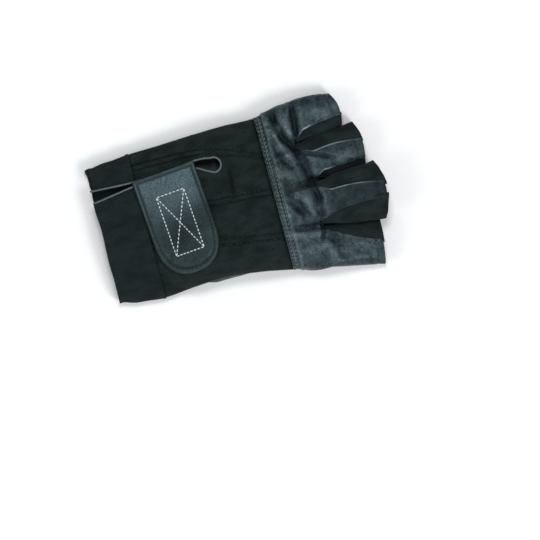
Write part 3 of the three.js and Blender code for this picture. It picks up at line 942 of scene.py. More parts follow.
@dataclass(frozen=True)
class Knit:
    """A knitted or looped cloth: its colours, its make and its pitch in millimetres."""

    name: str
    dark: Triple
    light: Triple
    weave: Weave
    pitch: float
    sheen: float

    def material(self) -> Material:
        """Builds the cloth's material on the piece's flat cut.

        Returns:
            A matte material with ribs or loops, fibre fuzz and a little lint.
        """
        g = Graph(self.name)
        uv = g.add("ShaderNodeUVMap", uv_map="cut").outputs["UV"]
        parts = g.add("ShaderNodeSeparateXYZ")
        g.link(uv, parts.inputs[0])

        def ridges(axis: str, pitch: float) -> Socket:
            """Rounded ridges across one axis of the flat cut."""
            phase = g.math("MULTIPLY", parts.outputs[axis], math.pi / pitch)
            return g.math("ABSOLUTE", g.math("SINE", phase))

        ribs = ridges("X", self.pitch)
        courses = ridges("Y", self.pitch * 0.8)
        fuzz = g.speckle(1500, 3)
        if self.weave is Weave.RIB:
            crossed = g.math("ADD", g.math("MULTIPLY", ribs, 0.42), g.math("MULTIPLY", courses, 0.22))
            loops = g.math("ADD", crossed, g.math("MULTIPLY", fuzz, 0.36))
        else:
            crossed = g.math("MULTIPLY", g.math("MULTIPLY", ribs, courses), 0.5)
            loops = g.math("ADD", crossed, g.math("MULTIPLY", fuzz, 0.7))
        slack = g.ramp(g.speckle(170, 4, (1.0, 0.5, 1.0)), 0.3, 0.7, 0.4, 1.0)
        hung = g.math("MULTIPLY", loops, slack)
        shade = g.math("MULTIPLY", hung, g.math("SUBTRACT", 1.0, g.attribute("sunk")))
        dyed = g.blend(shade, self.dark, self.light)
        lint = g.ramp(g.speckle(2600, 2), 0.7, 0.78)
        pale = tuple(2.2 * c for c in self.light)
        g.link(g.blend(g.math("MULTIPLY", lint, 0.5), dyed, pale), g.shader.inputs["Base Color"])
        under = g.bump(loops, 0.0004, 0.5 if self.weave is Weave.RIB else 0.9)
        g.link(g.bump(fuzz, 0.00015, 0.5, under), g.shader.inputs["Normal"])
        g.surface({"Roughness": 0.92, "Specular IOR Level": 0.12})
        g.surface({"Sheen Weight": self.sheen, "Sheen Roughness": 0.5})
        return g.material


@dataclass(frozen=True)
class Yarn:
    """A thread or a rolled trim: one colour with a twist."""

    name: str
    dark: Triple
    light: Triple
    roughness: float

    def material(self) -> Material:
        """Builds the yarn's material.

        Returns:
            A satin material with fine fibres and uneven dye.
        """
        g = Graph(self.name)
        fibre = g.speckle(1800, 2)
        g.link(g.blend(g.ramp(fibre, 0.3, 0.7), self.dark, self.light), g.shader.inputs["Base Color"])
        g.link(g.bump(fibre, 0.0001, 0.5), g.shader.inputs["Normal"])
        g.surface({"Roughness": self.roughness})
        return g.material


@dataclass(frozen=True)
class Suede:
    """The flesh side of a hide, inside the glove."""

    name: str
    dark: Triple
    light: Triple

    def material(self) -> Material:
        """Builds the flesh side's material.

        Returns:
            A dull, fuzzy material with cloudy colour.
        """
        g = Graph(self.name)
        nap = g.speckle(700, 4)
        cloud = g.ramp(g.speckle(55, 4), 0.3, 0.7)
        dyed = g.blend(g.math("MULTIPLY", nap, cloud), self.dark, self.light)
        g.link(dyed, g.shader.inputs["Base Color"])
        g.link(g.bump(nap, 0.0003, 0.6), g.shader.inputs["Normal"])
        g.surface({"Roughness": 0.95, "Specular IOR Level": 0.15, "Sheen Weight": 0.15})
        return g.material


@dataclass
class Wardrobe:
    """Every finish of the glove, built once."""

    knuckle: Material
    palm: Material
    thumb: Material
    strap: Material
    stretch: Material
    elastic: Material
    binding: Material
    black_thread: Material
    thread: Material
    pale_thread: Material
    suede: Material

    @classmethod
    def build(cls) -> "Wardrobe":
        """Builds all the finishes.

        Returns:
            The wardrobe.
        """
        return cls(
            knuckle=Leather(
                "knuckle_leather", dark=(0.001, 0.004, 0.005), light=(0.033, 0.051, 0.055),
                highlight_and_wear=(0.28, 0.35, 0.37), roughness=0.33, gloss=0.34,
            ).material(),
            palm=Leather(
                "palm_leather", dark=(0.002, 0.005, 0.006), light=(0.028, 0.044, 0.046),
                highlight_and_wear=(0.08, 0.11, 0.115), roughness=0.34, gloss=0.36,
            ).material(),
            thumb=Leather(
                "thumb_leather", dark=(0.014, 0.024, 0.020), light=(0.026, 0.040, 0.034),
                highlight_and_wear=(0.08, 0.11, 0.10), roughness=0.48,
            ).material(),
            strap=Leather(
                "strap_leather", dark=(0.003, 0.007, 0.007), light=(0.014, 0.023, 0.022),
                highlight_and_wear=(0.105, 0.16, 0.185), roughness=0.36, grain=1.2, relief=0.14, gloss=0.4,
            ).material(),
            stretch=Knit(
                "stretch_fabric", dark=(0.001, 0.002, 0.002), light=(0.019, 0.031, 0.031),
                weave=Weave.RIB, pitch=1.5, sheen=0.03,
            ).material(),
            elastic=Knit(
                "wrist_elastic", dark=(0.002, 0.005, 0.005), light=(0.018, 0.029, 0.030),
                weave=Weave.TERRY, pitch=1.1, sheen=0.06,
            ).material(),
            binding=Yarn("edge_binding", (0.035, 0.050, 0.052), (0.11, 0.14, 0.15), 0.5).material(),
            black_thread=Yarn("black_thread", (0.008, 0.013, 0.014), (0.036, 0.050, 0.052), 0.7).material(),
            thread=Yarn("thread", (0.05, 0.07, 0.072), (0.17, 0.21, 0.22), 0.5).material(),
            pale_thread=Yarn("pale_thread", (0.45, 0.50, 0.50), (0.75, 0.80, 0.79), 0.6).material(),
            suede=Suede("flesh_side", (0.045, 0.056, 0.055), (0.15, 0.18, 0.175)).material(),
        )


class Seamstress:
    """Lays stitches along lines on the glove and keeps them all in one piece per thread."""

    def __init__(self, name: str) -> None:
        """Starts an empty run of thread under a piece name.

        Args:
            name: the piece's name.
        """
        self.name = name
        self.mesh = bmesh.new()
        self.count = 0

    def stitch(self, mesh: bmesh.types.BMesh, a: Vector, b: Vector, up: Vector, thick: float) -> None:
        """Adds one stitch between two pattern points.

        Args:
            mesh: the run that it belongs to.
            a: where the thread comes up.
            b: where it goes down.
            up: the way out of the surface.
            thick: the thread's thickness in millimetres.
        """
        along = (b - a).normalized()
        aside = up.cross(along).normalized()
        out = along.cross(aside).normalized()
        turned = Matrix((along, aside, out)).transposed().to_4x4()
        turned.translation = (a + b) / 2
        size = Matrix.Diagonal(((b - a).length / 2, thick / 2, thick * 0.42, 1.0))
        bmesh.ops.create_uvsphere(mesh, u_segments=6, v_segments=4, radius=1.0, matrix=turned @ size)
        self.count += 1

    def run(
        self,
        line: Sequence[Vector],
        up: Callable[[Vector], Vector] | Vector,
        long: float,
        gap: float,
        thick: float,
    ) -> None:
        """Sews along a line.

        Args:
            line: the line's points, in pattern millimetres.
            up: the way out of the surface, or a function of the place.
            long: the length of a stitch.
            gap: the gap between two stitches.
            thick: the thread's thickness.
        """
        reach = [0.0]
        for a, b in zip(line, line[1:]):
            reach.append(reach[-1] + (b - a).length)
        if reach[-1] < long:
            return
        count = max(1, round(reach[-1] / (long + gap)))
        step = reach[-1] / count

        def at(distance: float) -> Vector:
            """The point of the line at a distance along it.

            Args:
                distance: the distance.

            Returns:
                The point.
            """
            n = 0
            while n < len(line) - 2 and distance > reach[n + 1]:
                n += 1
            span = reach[n + 1] - reach[n]
            return line[n].lerp(line[n + 1], (distance - reach[n]) / span if span else 0.0)

        row = bmesh.new()
        for n in range(count):
            start, end = at(n * step + gap / 2), at((n + 1) * step - gap / 2)
            way = up(start) if callable(up) else up
            self.stitch(row, start, end, way, thick)
        sewn = bpy.data.meshes.new("run")
        row.to_mesh(sewn)
        row.free()
        self.mesh.from_mesh(sewn)
        bpy.data.meshes.remove(sewn)

    def finish(self, thread: Material, slot_name: str) -> Piece:
        """Turns the run of thread into a piece of the glove.

        Args:
            thread: the thread's material.
            slot_name: not used.

        Returns:
            The piece.
        """
        for vert in self.mesh.verts:
            vert.co = placed(vert.co)
            vert.co.z = max(vert.co.z, 0.0)
        piece = joined(self.name, self.mesh, thread)
        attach(piece, "root")
        LOG.info("%s: %d stitches", self.name, self.count)
        return piece


def carved(piece: Piece, cutter: bmesh.types.BMesh) -> None:
    """Cuts a piece with a closed tool and bakes the piece's modifiers into its mesh.

    Args:
        piece: the piece, which keeps its materials.
        cutter: the tool's bmesh, in metres, which is freed.
    """
    tool = joined("cutter", cutter)
    cut = piece.modifiers.new("cut", "BOOLEAN")
    cut.operation = "DIFFERENCE"
    cut.solver = "EXACT"
    cut.object = tool
    shown = piece.evaluated_get(bpy.context.evaluated_depsgraph_get())
    baked = bpy.data.meshes.new_from_object(shown)
    piece.modifiers.clear()
    piece.data = baked
    baked.name = piece.name
    bpy.data.objects.remove(tool, do_unlink=True)


@dataclass
class WristBand:
    """The elastic band round the wrist, open at the slit on the back."""

    thick: float = 2.0
    around: int = 250
    along: int = 36
    bound: float = 0.5
    lap: float = 0.6
    girth: float = 230.0
    rib_pitch: float = 2.6

    def skin(self, angle: float, y: float, inset: float = 0.0) -> Vector:
        """A point of the band at an angle round the wrist."""
        side = Side.BACK if math.sin(angle) >= 0 else Side.PALM
        return FORM.hand(math.cos(angle), y, side, inset)

    def wrist_edge(self, angle: float) -> float:
        """How far the band's wrist edge waves forward at an angle round the wrist.

        Args:
            angle: the angle.

        Returns:
            The way forward.
        """
        if math.sin(angle) <= 0:
            return 0.9 * math.sin(3 * angle) ** 2
        x = lerp(HAND[0]["left"], HAND[0]["right"], (math.cos(angle) + 1) / 2)
        return read(WRIST_EDGE, "x", "y", x)

    def slit_angles(self, y: float) -> tuple[float, float]:
        """The angles at which the band ends beside the slit, past its left and right."""
        left, right = (FORM.share(bank(y, side, self.bound), y) for side in (-1, 1))
        return math.acos(left), math.acos(right)

    def build(self, wardrobe: Wardrobe) -> Piece:
        """Builds and dresses the band.

        Args:
            wardrobe: the finishes.

        Returns:
            The band's piece.
        """
        cloth = Cloth(self.around, self.along)

        def spot(vert: Vert) -> tuple[float, float]:
            """The point's angle and distance along the hand.

            Args:
                vert: the point of the grid.

            Returns:
                The angle and the distance.
            """
            share = vert[cloth.column] / self.around
            left, right = self.slit_angles(0.0)
            angle = lerp(left, right + 2 * math.pi, share)
            start = self.wrist_edge(angle)
            y = lerp(start, CUFF_SEAM + self.lap, vert[cloth.row] / self.along)
            left, right = self.slit_angles(max(y, 0.0))
            return lerp(left, right + 2 * math.pi, share), y

        def ripple(vert: Vert) -> float:
            """The band's soft ribs along the hand, its rolled ends and its waves.

            Args:
                vert: the point of the grid.

            Returns:
                The height.
            """
            angle, y = spots[vert]
            rib = 0.16 * math.sin(angle * self.girth / (2 * math.pi) * 2 * math.pi / self.rib_pitch)
            roll = -0.9 * bell(y - self.wrist_edge(angle), 1.6) - 0.5 * bell(y - CUFF_SEAM, 1.3)
            bulge = 0.5 * math.sin(math.pi * y / CUFF_SEAM)
            wave = 0.5 * noise.noise(Vector((angle * 3, y / 12, 2.0)))
            return rib * smoothstep(0, 4, y) + roll + bulge + wave

        spots = {vert: spot(vert) for vert in cloth.mesh.verts}
        cloth.lay(lambda v: self.skin(*spots[v]))
        cloth.cut_map(lambda v: (spots[v][0] * self.girth / (2 * math.pi), spots[v][1]))
        cloth.emboss(ripple)
        area = cloth.area()
        bmesh.ops.recalc_face_normals(cloth.mesh, faces=cloth.mesh.faces[:])
        piece = cloth.finish("wrist_band", self.thick, wardrobe.elastic, wardrobe.elastic)
        middle = sum((v.co for v in piece.data.vertices), Vector()) / len(piece.data.vertices)
        turn_out(piece, lambda spot: spot - middle)
        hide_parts("cuff_band")
        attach(piece, "root")
        LOG.info("wrist band: %.0f square centimetres", area * 1e4)
        return piece


@dataclass
class BackPanel:
    """The ribbed stretch back with its three sewn channels and the slit's keyhole."""

    thick: float = 1.9
    across: int = 176
    along: int = 136
    slit_column: int = 44
    bound: float = 0.2
    channel_half: float = 1.8
    tuck: float = 3.0
    crease: tuple[tuple[float, float], tuple[float, float], float] = ((-20.5, 90.5), (-3.0, 89.0), 1.5)

    def reach(self, row: float) -> float:
        """The distance along the hand at a row; the ends are tucked under their neighbours."""
        return lerp(CUFF_SEAM - LAP, KNUCKLE_SEAM + self.tuck, row / self.along)

    def slit_row(self) -> float:
        """The last row that the slit opens."""
        start, end = CUFF_SEAM - LAP, KNUCKLE_SEAM + self.tuck
        return (KEYHOLE_Y + KEYHOLE_RADIUS + self.bound - start) / (end - start) * self.along

    def relief(self, x: float, y: float) -> float:
        """The height of the cloth's surface: sunk channels, puckers beside them and slack.

        Args:
            x: the place across the hand.
            y: the place along the hand.

        Returns:
            The height.
        """
        height = 0.0
        for name in CHANNELS:
            away = abs(x - read(GROOVES, "y", name, y))
            height -= 0.3 * bell(away, self.channel_half)
            height -= 0.95 * bell(away - self.channel_half, 0.55)
            height += 0.3 * bell(away - 3.4, 1.6) * math.sin(y * 2 * math.pi / 3.4 + x)
        height += 0.7 * noise.noise(Vector((x / 15, y / 24, 5.0)))
        height += 0.3 * noise.noise(Vector((x / 9, y / 4, 8.0)))
        height -= 0.9 * bell(y - KNUCKLE_SEAM, 2.4)
        height -= 0.5 * bell(y - CUFF_SEAM, 1.5)
        return height - Fold(*self.crease, 1.4).depth(x, y)

    def sewn(self, x: float, y: float) -> float:
        """How hidden from light a point is, in the sewn lines and in the crease, from 0 to 1.

        Args:
            x: the place across the hand.
            y: the place along the hand.

        Returns:
            The share of the light that is lost.
        """
        away = [abs(x - read(GROOVES, "y", name, y)) for name in CHANNELS]
        nearest = min(abs(far - self.channel_half) for far in away)
        creased = clamp(Fold(*self.crease, 0.9).depth(x, y), 0.0, 0.8)
        hidden = max(bell(nearest, 0.55), creased)
        return max(0.85 * hidden, 0.7 * bell(y - KNUCKLE_SEAM, 1.6), 0.6 * bell(y - CUFF_SEAM, 1.2))

    def build(self, wardrobe: Wardrobe) -> Piece:
        """Builds and dresses the panel.

        Args:
            wardrobe: the finishes.

        Returns:
            The panel's piece.
        """
        cloth = Cloth(self.across, self.along)
        cloth.slit(self.slit_column, self.slit_row())
        centre = self.slit_column

        def spot(vert: Vert) -> tuple[float, float]:
            """The point's share of the half width and distance along the hand.

            Args:
                vert: the point of the grid.

            Returns:
                The share and the distance.
            """
            y = self.reach(vert[cloth.row])
            side = cloth.leaning(vert, centre)
            brink = math.asin(FORM.share(bank(y, side, self.bound), y))
            column = vert[cloth.column]
            if column <= centre and side <= 0:
                angle = lerp(-math.pi / 2, brink, column / centre)
            else:
                angle = lerp(brink, math.pi / 2, (column - centre) / (self.across - centre))
            return math.sin(angle), y

        def raised(vert: Vert) -> float:
            """The relief, calm at the panel's sides, and its dip under the knuckle leather.

            Args:
                vert: the point of the grid.

            Returns:
                The height.
            """
            x, y = flat[vert]
            under = 1.1 * smoothstep(KNUCKLE_SEAM - 0.6, KNUCKLE_SEAM + 0.8, y)
            return self.relief(x, y) * smoothstep(1.0, 0.94, abs(shares[vert][0])) - under

        shares = {vert: spot(vert) for vert in cloth.mesh.verts}
        cloth.lay(lambda v: FORM.hand(*shares[v], Side.BACK))
        flat = {vert: (vert.co.x, vert.co.y) for vert in cloth.mesh.verts}
        cloth.cut_map(lambda v: flat[v])
        for vert in cloth.mesh.verts:
            vert[cloth.sunk] = self.sewn(*flat[vert])
        cloth.emboss(raised)
        area = cloth.area()
        piece = cloth.finish("back_of_hand", self.thick, wardrobe.stretch, wardrobe.stretch)
        outward(piece, Side.BACK)
        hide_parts("back_panel")
        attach(piece, "root")
        LOG.info("back panel: %.0f square centimetres", area * 1e4)
        return piece

    def sew(self, thread: Seamstress) -> None:
        """Sews both rows of each channel.

        Args:
            thread: the thread to sew with.
        """
        for name in CHANNELS:
            for aside in (-self.channel_half, self.channel_half):
                start = 31.0 if name == "third" else 74.5

                def skin(t: float) -> Vector:
                    """A point of the row.

                    Args:
                        t: the share of the way to the knuckles.

                    Returns:
                        The point.
                    """
                    y = lerp(start, KNUCKLE_SEAM - 1.0, t)
                    x = read(GROOVES, "y", name, y) + aside
                    return Vector((x, y, FORM.back_height(x, y) + self.relief(x, y) + 0.12))

                thread.run([skin(n / 40) for n in range(41)], UP, long=1.7, gap=0.5, thick=0.4)


@dataclass
class HidePanel:
    """A leather side of the glove, from a seam across the hand to the ends of the fingers."""

    side: Side
    seam: float
    name: str
    node: str
    relief: Relief
    proud: float = 0.0
    thick: float = 1.3
    stall_cells: int = 42
    web_cells: int = 10
    hand_rows: int = 46
    stall_rows: int = 52
    notch: float = 2.2
    hem: float = 5.0

    def columns(self) -> list[Column]:
        """Each column as its finger, its share across it and whether it lies in a web.

        Returns:
            The columns.
        """
        made = []
        for n in range(len(FINGERS)):
            made += [(n, k / self.stall_cells, False) for k in range(self.stall_cells + 1)]
            if n < len(FINGERS) - 1:
                made += [(n, k / self.web_cells, True) for k in range(1, self.web_cells)]
        return made

    def stall_angle(self, n: int, share: float, t: float = 0.0) -> float:
        """The angle round a stall at a share across its leather and a share along it."""
        start, end = FINGERS[n].span(self.side, t)
        return lerp(start, end, share)

    def root(self, column: Column) -> Vector:
        """The point where a column crosses the line of the finger roots.

        Args:
            column: its finger, share and web.

        Returns:
            The point.
        """
        n, share, web = column
        if not web:
            return FORM.stall(FINGERS[n], self.stall_angle(n, share), 0.0, -self.proud)
        a = FORM.stall(FINGERS[n], self.stall_angle(n, 1.0), 0.0, -self.proud)
        b = FORM.stall(FINGERS[n + 1], self.stall_angle(n + 1, 0.0), 0.0, -self.proud)
        point = a.lerp(b, (1 - math.cos(math.pi * share)) / 2)
        point.y -= self.notch * (1 - abs(2 * share - 1) ** 1.4)
        point.z -= DIP * math.sin(math.pi * share) * (1 if self.side is Side.BACK else -0.3)
        return point

    @cached_property
    def ends(self) -> tuple[float, float]:
        """Where the line of the finger roots starts and ends across the hand."""
        return self.root((0, 0.0, False)).x, self.root((len(FINGERS) - 1, 1.0, False)).x

    def share(self, root: Vector) -> float:
        """The share of the hand's half width along which a column with this root runs."""
        left, right = self.ends
        return 2 * (root.x - left) / (right - left) - 1

    def point(self, column: Column, row: float) -> Vector:
        """A point of the hide.

        Args:
            column: the column's finger, share and web.
            row: the row, counted from the seam.

        Returns:
            The point, in pattern millimetres.
        """
        n, share, web = column
        if row > self.hand_rows:
            t = (row - self.hand_rows) / self.stall_rows
            return FORM.stall(FINGERS[n], self.stall_angle(n, share, t), t, -self.proud)
        root = self.root(column)
        y = lerp(self.seam, root.y, row / self.hand_rows)
        hand = FORM.hand(self.share(root), y, self.side, -self.proud)
        rooted = smoothstep(0.1, 1.0, (y - KNUCKLE_SEAM) / (root.y - KNUCKLE_SEAM))
        return Vector((lerp(hand.x, root.x, rooted), y, lerp(hand.z, root.z, rooted)))

    def edge_distance(self, column: Column, row: float, y: float) -> float:
        """How far a point is from the nearest cut edge of the hide, in millimetres.

        Args:
            column: its finger, share and web.
            row: the row from the seam.
            y: the place along the hand.

        Returns:
            The distance.
        """
        n, share, web = column
        finger = FINGERS[n]
        distances = [abs(y - self.seam)]
        if row > self.hand_rows:
            t = (row - self.hand_rows) / self.stall_rows
            half = lerp(finger.root_half, finger.tip_half, t)
            start, end = finger.span(self.side, t)
            wide = abs(end - start) * half
            if n > 0:
                distances.append(share * wide)
            if n < len(FINGERS) - 1:
                distances.append((1 - share) * wide)
            distances.append((1 - t) * finger.long())
        elif web:
            distances.append(self.root(column).y - y)
        else:
            ends = [k for k, there in ((0.0, n > 0), (1.0, n < len(FINGERS) - 1)) if there]
            for end_share in ends:
                corner = FORM.stall(finger, self.stall_angle(n, end_share), 0.0)
                here = self.point(column, row)
                distances.append(math.hypot(corner.x - here.x, corner.y - y))
        return min(distances)

    def build(self, wardrobe: Wardrobe, outside: Material, slot_name: str) -> Piece:
        """Builds and dresses the hide.

        Args:
            wardrobe: the finishes.
            outside: the finish of the hair side.
            slot_name: not used.

        Returns:
            The hide's piece.
        """
        columns = self.columns()
        cloth = Cloth(len(columns) - 1, self.hand_rows + self.stall_rows)

        def in_web(column: float, row: float) -> bool:
            """Whether a cell lies in the open slot between two fingers."""
            left, right = columns[int(column)], columns[int(column) + 1]
            return row > self.hand_rows and (left[2] or right[2])

        cloth.cells(in_web)

        def spot(vert: Vert) -> tuple[Column, float]:
            """The point's column and row."""
            return columns[round(vert[cloth.column])], vert[cloth.row]

        cloth.lay(lambda v: self.point(*spot(v)))
        flat = cloth.cut_flat()
        sense = cloth.sense(self.side)
        away = {vert: self.edge_distance(*spot(vert), flat[vert].y) for vert in cloth.mesh.verts}

        def height(vert: Vert) -> float:
            """The hide's relief, with its cut edges turned down and a lip inside them.

            Args:
                vert: the point of the grid.

            Returns:
                The height.
            """
            x, y = flat[vert].x, flat[vert].y
            free = smoothstep(3.0, 9.0, y - self.seam)
            edge = -0.6 * bell(away[vert], 0.4) + 0.3 * bell(away[vert] - 1.1, 0.8) * free
            hem = -0.35 * self.hemmed(*spot(vert))
            return sense * (edge + hem + self.seamed(x, y) + self.worked(x, y, away[vert]))

        def upright(vert: Vert) -> float:
            """How much the relief stands straight up: all of it round the crotches of the fingers.

            Args:
                vert: the point of the grid.

            Returns:
                The share, from 0 to 1.
            """
            if self.side is Side.PALM:
                return 0.0
            column, row = spot(vert)
            inner = smoothstep(1.0, 0.85, abs(self.share(self.root(column))))
            return inner * smoothstep(0.15, 0.0, (row - self.hand_rows) / self.stall_rows)

        # Painted light on the hide: highlight on the fingers' rims and crotch edges, the fold ridges, the
        # seam's puckers and the thumb's side of the knuckles; shade in the folds, stitch rows, hems and
        # crotches; and some fingers painted darker.
        for vert in cloth.mesh.verts:
            x, y = flat[vert].x, flat[vert].y
            pale = self.rim_highlight_and_wear(*spot(vert))
            bare = 1 - clamp(1.3 * pale, 0.0, 1.0)
            in_rows = bell(y - self.seam - NEAR_ROW, 0.55) + bell(y - self.seam - FAR_ROW, 0.55)
            # Painted highlight on the puckers drawn up between and past the seam's rows.
            pucker_highlight = 0.3 * bell(y - self.seam - 2.95, 0.5) + 0.26 * bell(y - self.seam - 6.2, 1.1)
            hidden = self.relief.folded(x, y) / 2.0 + 0.5 * self.hemmed(*spot(vert)) + 0.6 * in_rows
            highlighted = -0.2 * self.relief.folded(x, y) + self.side_highlight(x, y) + pucker_highlight
            vert[cloth.edge] = pale
            vert[cloth.sunk] = clamp(hidden + self.darkened(*spot(vert)), 0.0, 0.92) * bare
            vert[cloth.fade] = clamp(highlighted, 0.0, 1.0)
        cloth.emboss(height, upright)
        piece = cloth.finish(self.name, self.thick, outside, wardrobe.suede)
        outward(piece, self.side)
        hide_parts(self.node)
        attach(piece, "root")
        LOG.info("%s: %d columns", self.name, len(columns))
        return piece

    def hemmed(self, column: Column, row: float) -> float:
        """How near a point is to the sewn line of a finger's hem, from 0 to 1.

        Args:
            column: its finger, share and web.
            row: the row from the seam.

        Returns:
            The nearness.
        """
        n, _, web = column
        left = (1 - (row - self.hand_rows) / self.stall_rows) * FINGERS[n].long()
        return 0.0 if web else bell(left - self.hem, 0.6)

    def darkened(self, column: Column, row: float) -> float:
        """How much darker than the rest a finger's leather is painted at a point, and the painted shade at
        the crotches between the fingers.

        Args:
            column: its finger, share and web.
            row: the row from the seam.

        Returns:
            The darkening, from 0 to 1.
        """
        n, _, web = column
        if self.side is Side.PALM:
            return 0.0
        # Painted shade on the webs at the crotches between the fingers.
        if web:
            return 0.5 * smoothstep(0.9, 1.0, row / self.hand_rows)
        return FINGERS[n].darkening * smoothstep(-0.05, 0.25, (row - self.hand_rows) / self.stall_rows)

    def side_highlight(self, x: float, y: float) -> float:
        """How much the thumb's side of the knuckles is painted pale, as a highlight where light falls on
        it.

        Args:
            x: the place across the hand.
            y: the place along the hand.

        Returns:
            The painted highlight, from 0 to 1.
        """
        if self.side is Side.PALM:
            return 0.0
        return 0.07 * smoothstep(31.0, 34.5, x) * smoothstep(116.0, 121.0, y) * smoothstep(57.0, 50.0, x)

    def rim_highlight_and_wear(self, column: Column, row: float) -> float:
        """How brightly a highlight is painted on the raised edge of a finger's leather at a point, from 0
        to 1.

        Args:
            column: its finger, share and web.
            row: the row from the seam.

        Returns:
            The painted highlight.
        """
        n, share, web = column
        t = (row - self.hand_rows) / self.stall_rows
        if web or t <= 0 or self.side is Side.PALM:
            return 0.0
        finger = FINGERS[n]
        start, end = finger.span(self.side, t)
        wide = abs(end - start) * lerp(finger.root_half, finger.tip_half, t)
        upper = finger.rim * bell(share * wide - 0.9, 0.42) * smoothstep(0.04, 0.22, t)
        upper *= 1 - 0.7 * smoothstep(0.5, 0.95, t)
        lower = finger.glint * bell((1 - share) * wide - 1.3, 0.5) * bell(t - 0.22, 0.13)
        return max(upper, lower)

    def seamed(self, x: float, y: float) -> float:
        """The two sunk rows of stitches along the seam, with puckers between and past them.

        Args:
            x: the place across the hand.
            y: the place along the hand.

        Returns:
            The height.
        """
        away = y - self.seam
        sunk = -0.5 * bell(away - NEAR_ROW, 0.6) - 0.5 * bell(away - FAR_ROW, 0.6)
        swell = 0.25 * bell(away - 6.2, 1.0)
        drawn = 0.4 * math.sin(x * 2 * math.pi / 2.7) * bell(away - 2.9, 1.0)
        pucker = 0.3 * math.sin(x * 2 * math.pi / 5.6 + 1.7 * math.sin(x / 9)) * bell(away - 7.0, 2.6)
        return sunk + swell + drawn + pucker

    def worked(self, x: float, y: float, away: float) -> float:
        """The hide's relief at a point, calmer at the glove's outline and beside its cut edges."""
        outline = smoothstep(0.0, 0.45, math.sqrt(max(0.0, 1 - FORM.share(x, y) ** 2)))
        return self.relief.height(x, y) * lerp(0.35, 1.0, outline) * smoothstep(-0.5, 4.0, away)

    def sew(self, thread: Seamstress) -> None:
        """Sews the double row along the seam.

        Args:
            thread: the thread to sew with.
        """
        up = UP if self.side is Side.BACK else -UP
        inner = [column for column in self.columns() if abs(self.share(self.root(column))) < 0.97]
        for away in (NEAR_ROW, FAR_ROW):
            row = away / (FINGER_ROOTS - self.seam) * self.hand_rows
            line = [self.raised(column, row, up) for column in inner]
            thread.run(line, up, long=1.9, gap=0.8, thick=0.55)

    def raised(self, column: Column, row: float, up: Vector) -> Vector:
        """A point just on top of the hide's relief.

        Args:
            column: its finger, share and web.
            row: the row from the seam.
            up: the way out of the glove.

        Returns:
            The point.
        """
        point = self.point(column, row)
        away = self.edge_distance(column, row, point.y)
        return point + up * (self.worked(point.x, point.y, away) + 0.05)


@dataclass
class PalmHeel:
    """The soft heel of the palm, between the wrist band and the seam across the palm."""

    thick: float = 1.3
    across: int = 130
    along: int = 56
    tuck: float = 2.0
    lowest: float = 0.3
    relief: Relief = Relief(
        folds=creases(
            (46, 37, 21, 46, 1.9, 1.5),
            (33, 31, 14, 52, 1.7, 1.3),
            (42, 50, 24, 36, 1.5, 1.0),
            (-30, 44, -6, 40, 2.2, 0.7),
        ),
        dent=0.6,
        crease=0.45,
        turn=0.5,
        seed=4.0,
    )

    def build(self, wardrobe: Wardrobe) -> Piece:
        """Builds and dresses the heel.

        Args:
            wardrobe: the finishes.

        Returns:
            The heel's piece.
        """
        cloth = Cloth(self.across, self.along)

        def spot(vert: Vert) -> tuple[float, float]:
            """The point's share of the half width and distance along the hand."""
            s = -math.cos(math.pi * vert[cloth.column] / self.across)
            return s, lerp(CUFF_SEAM - LAP, HEEL_SEAM + self.tuck, vert[cloth.row] / self.along)

        cloth.lay(lambda v: FORM.hand(*spot(v), Side.PALM))
        flat = cloth.cut_flat()
        sense = cloth.sense(Side.PALM)

        def height(vert: Vert) -> float:
            """The heel's relief, sunk where its neighbours lap it.

            Args:
                vert: the point of the grid.

            Returns:
                The height.
            """
            x, y = flat[vert].x, flat[vert].y
            s = abs(spot(vert)[0])
            tucked = -0.8 * smoothstep(HEEL_SEAM - 0.8, HEEL_SEAM + 0.4, y)
            gather = 0.2 * math.sin(x * 2 * math.pi / 5.1) * bell(HEEL_SEAM - 4 - y, 3)
            low = min(self.relief.height(x, y) * smoothstep(1.0, 0.85, s), 0.35)
            return sense * (low + tucked + gather)

        for vert in cloth.mesh.verts:
            vert[cloth.edge] = 0.5 * bell(flat[vert].y - CUFF_SEAM, 0.8)
        cloth.emboss(height)
        piece = cloth.finish("heel_of_palm", self.thick, wardrobe.palm, wardrobe.suede, self.lowest)
        outward(piece, Side.PALM)
        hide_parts("palm_heel")
        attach(piece, "root")
        LOG.info("palm heel: %d cells", self.across * self.along)
        return piece


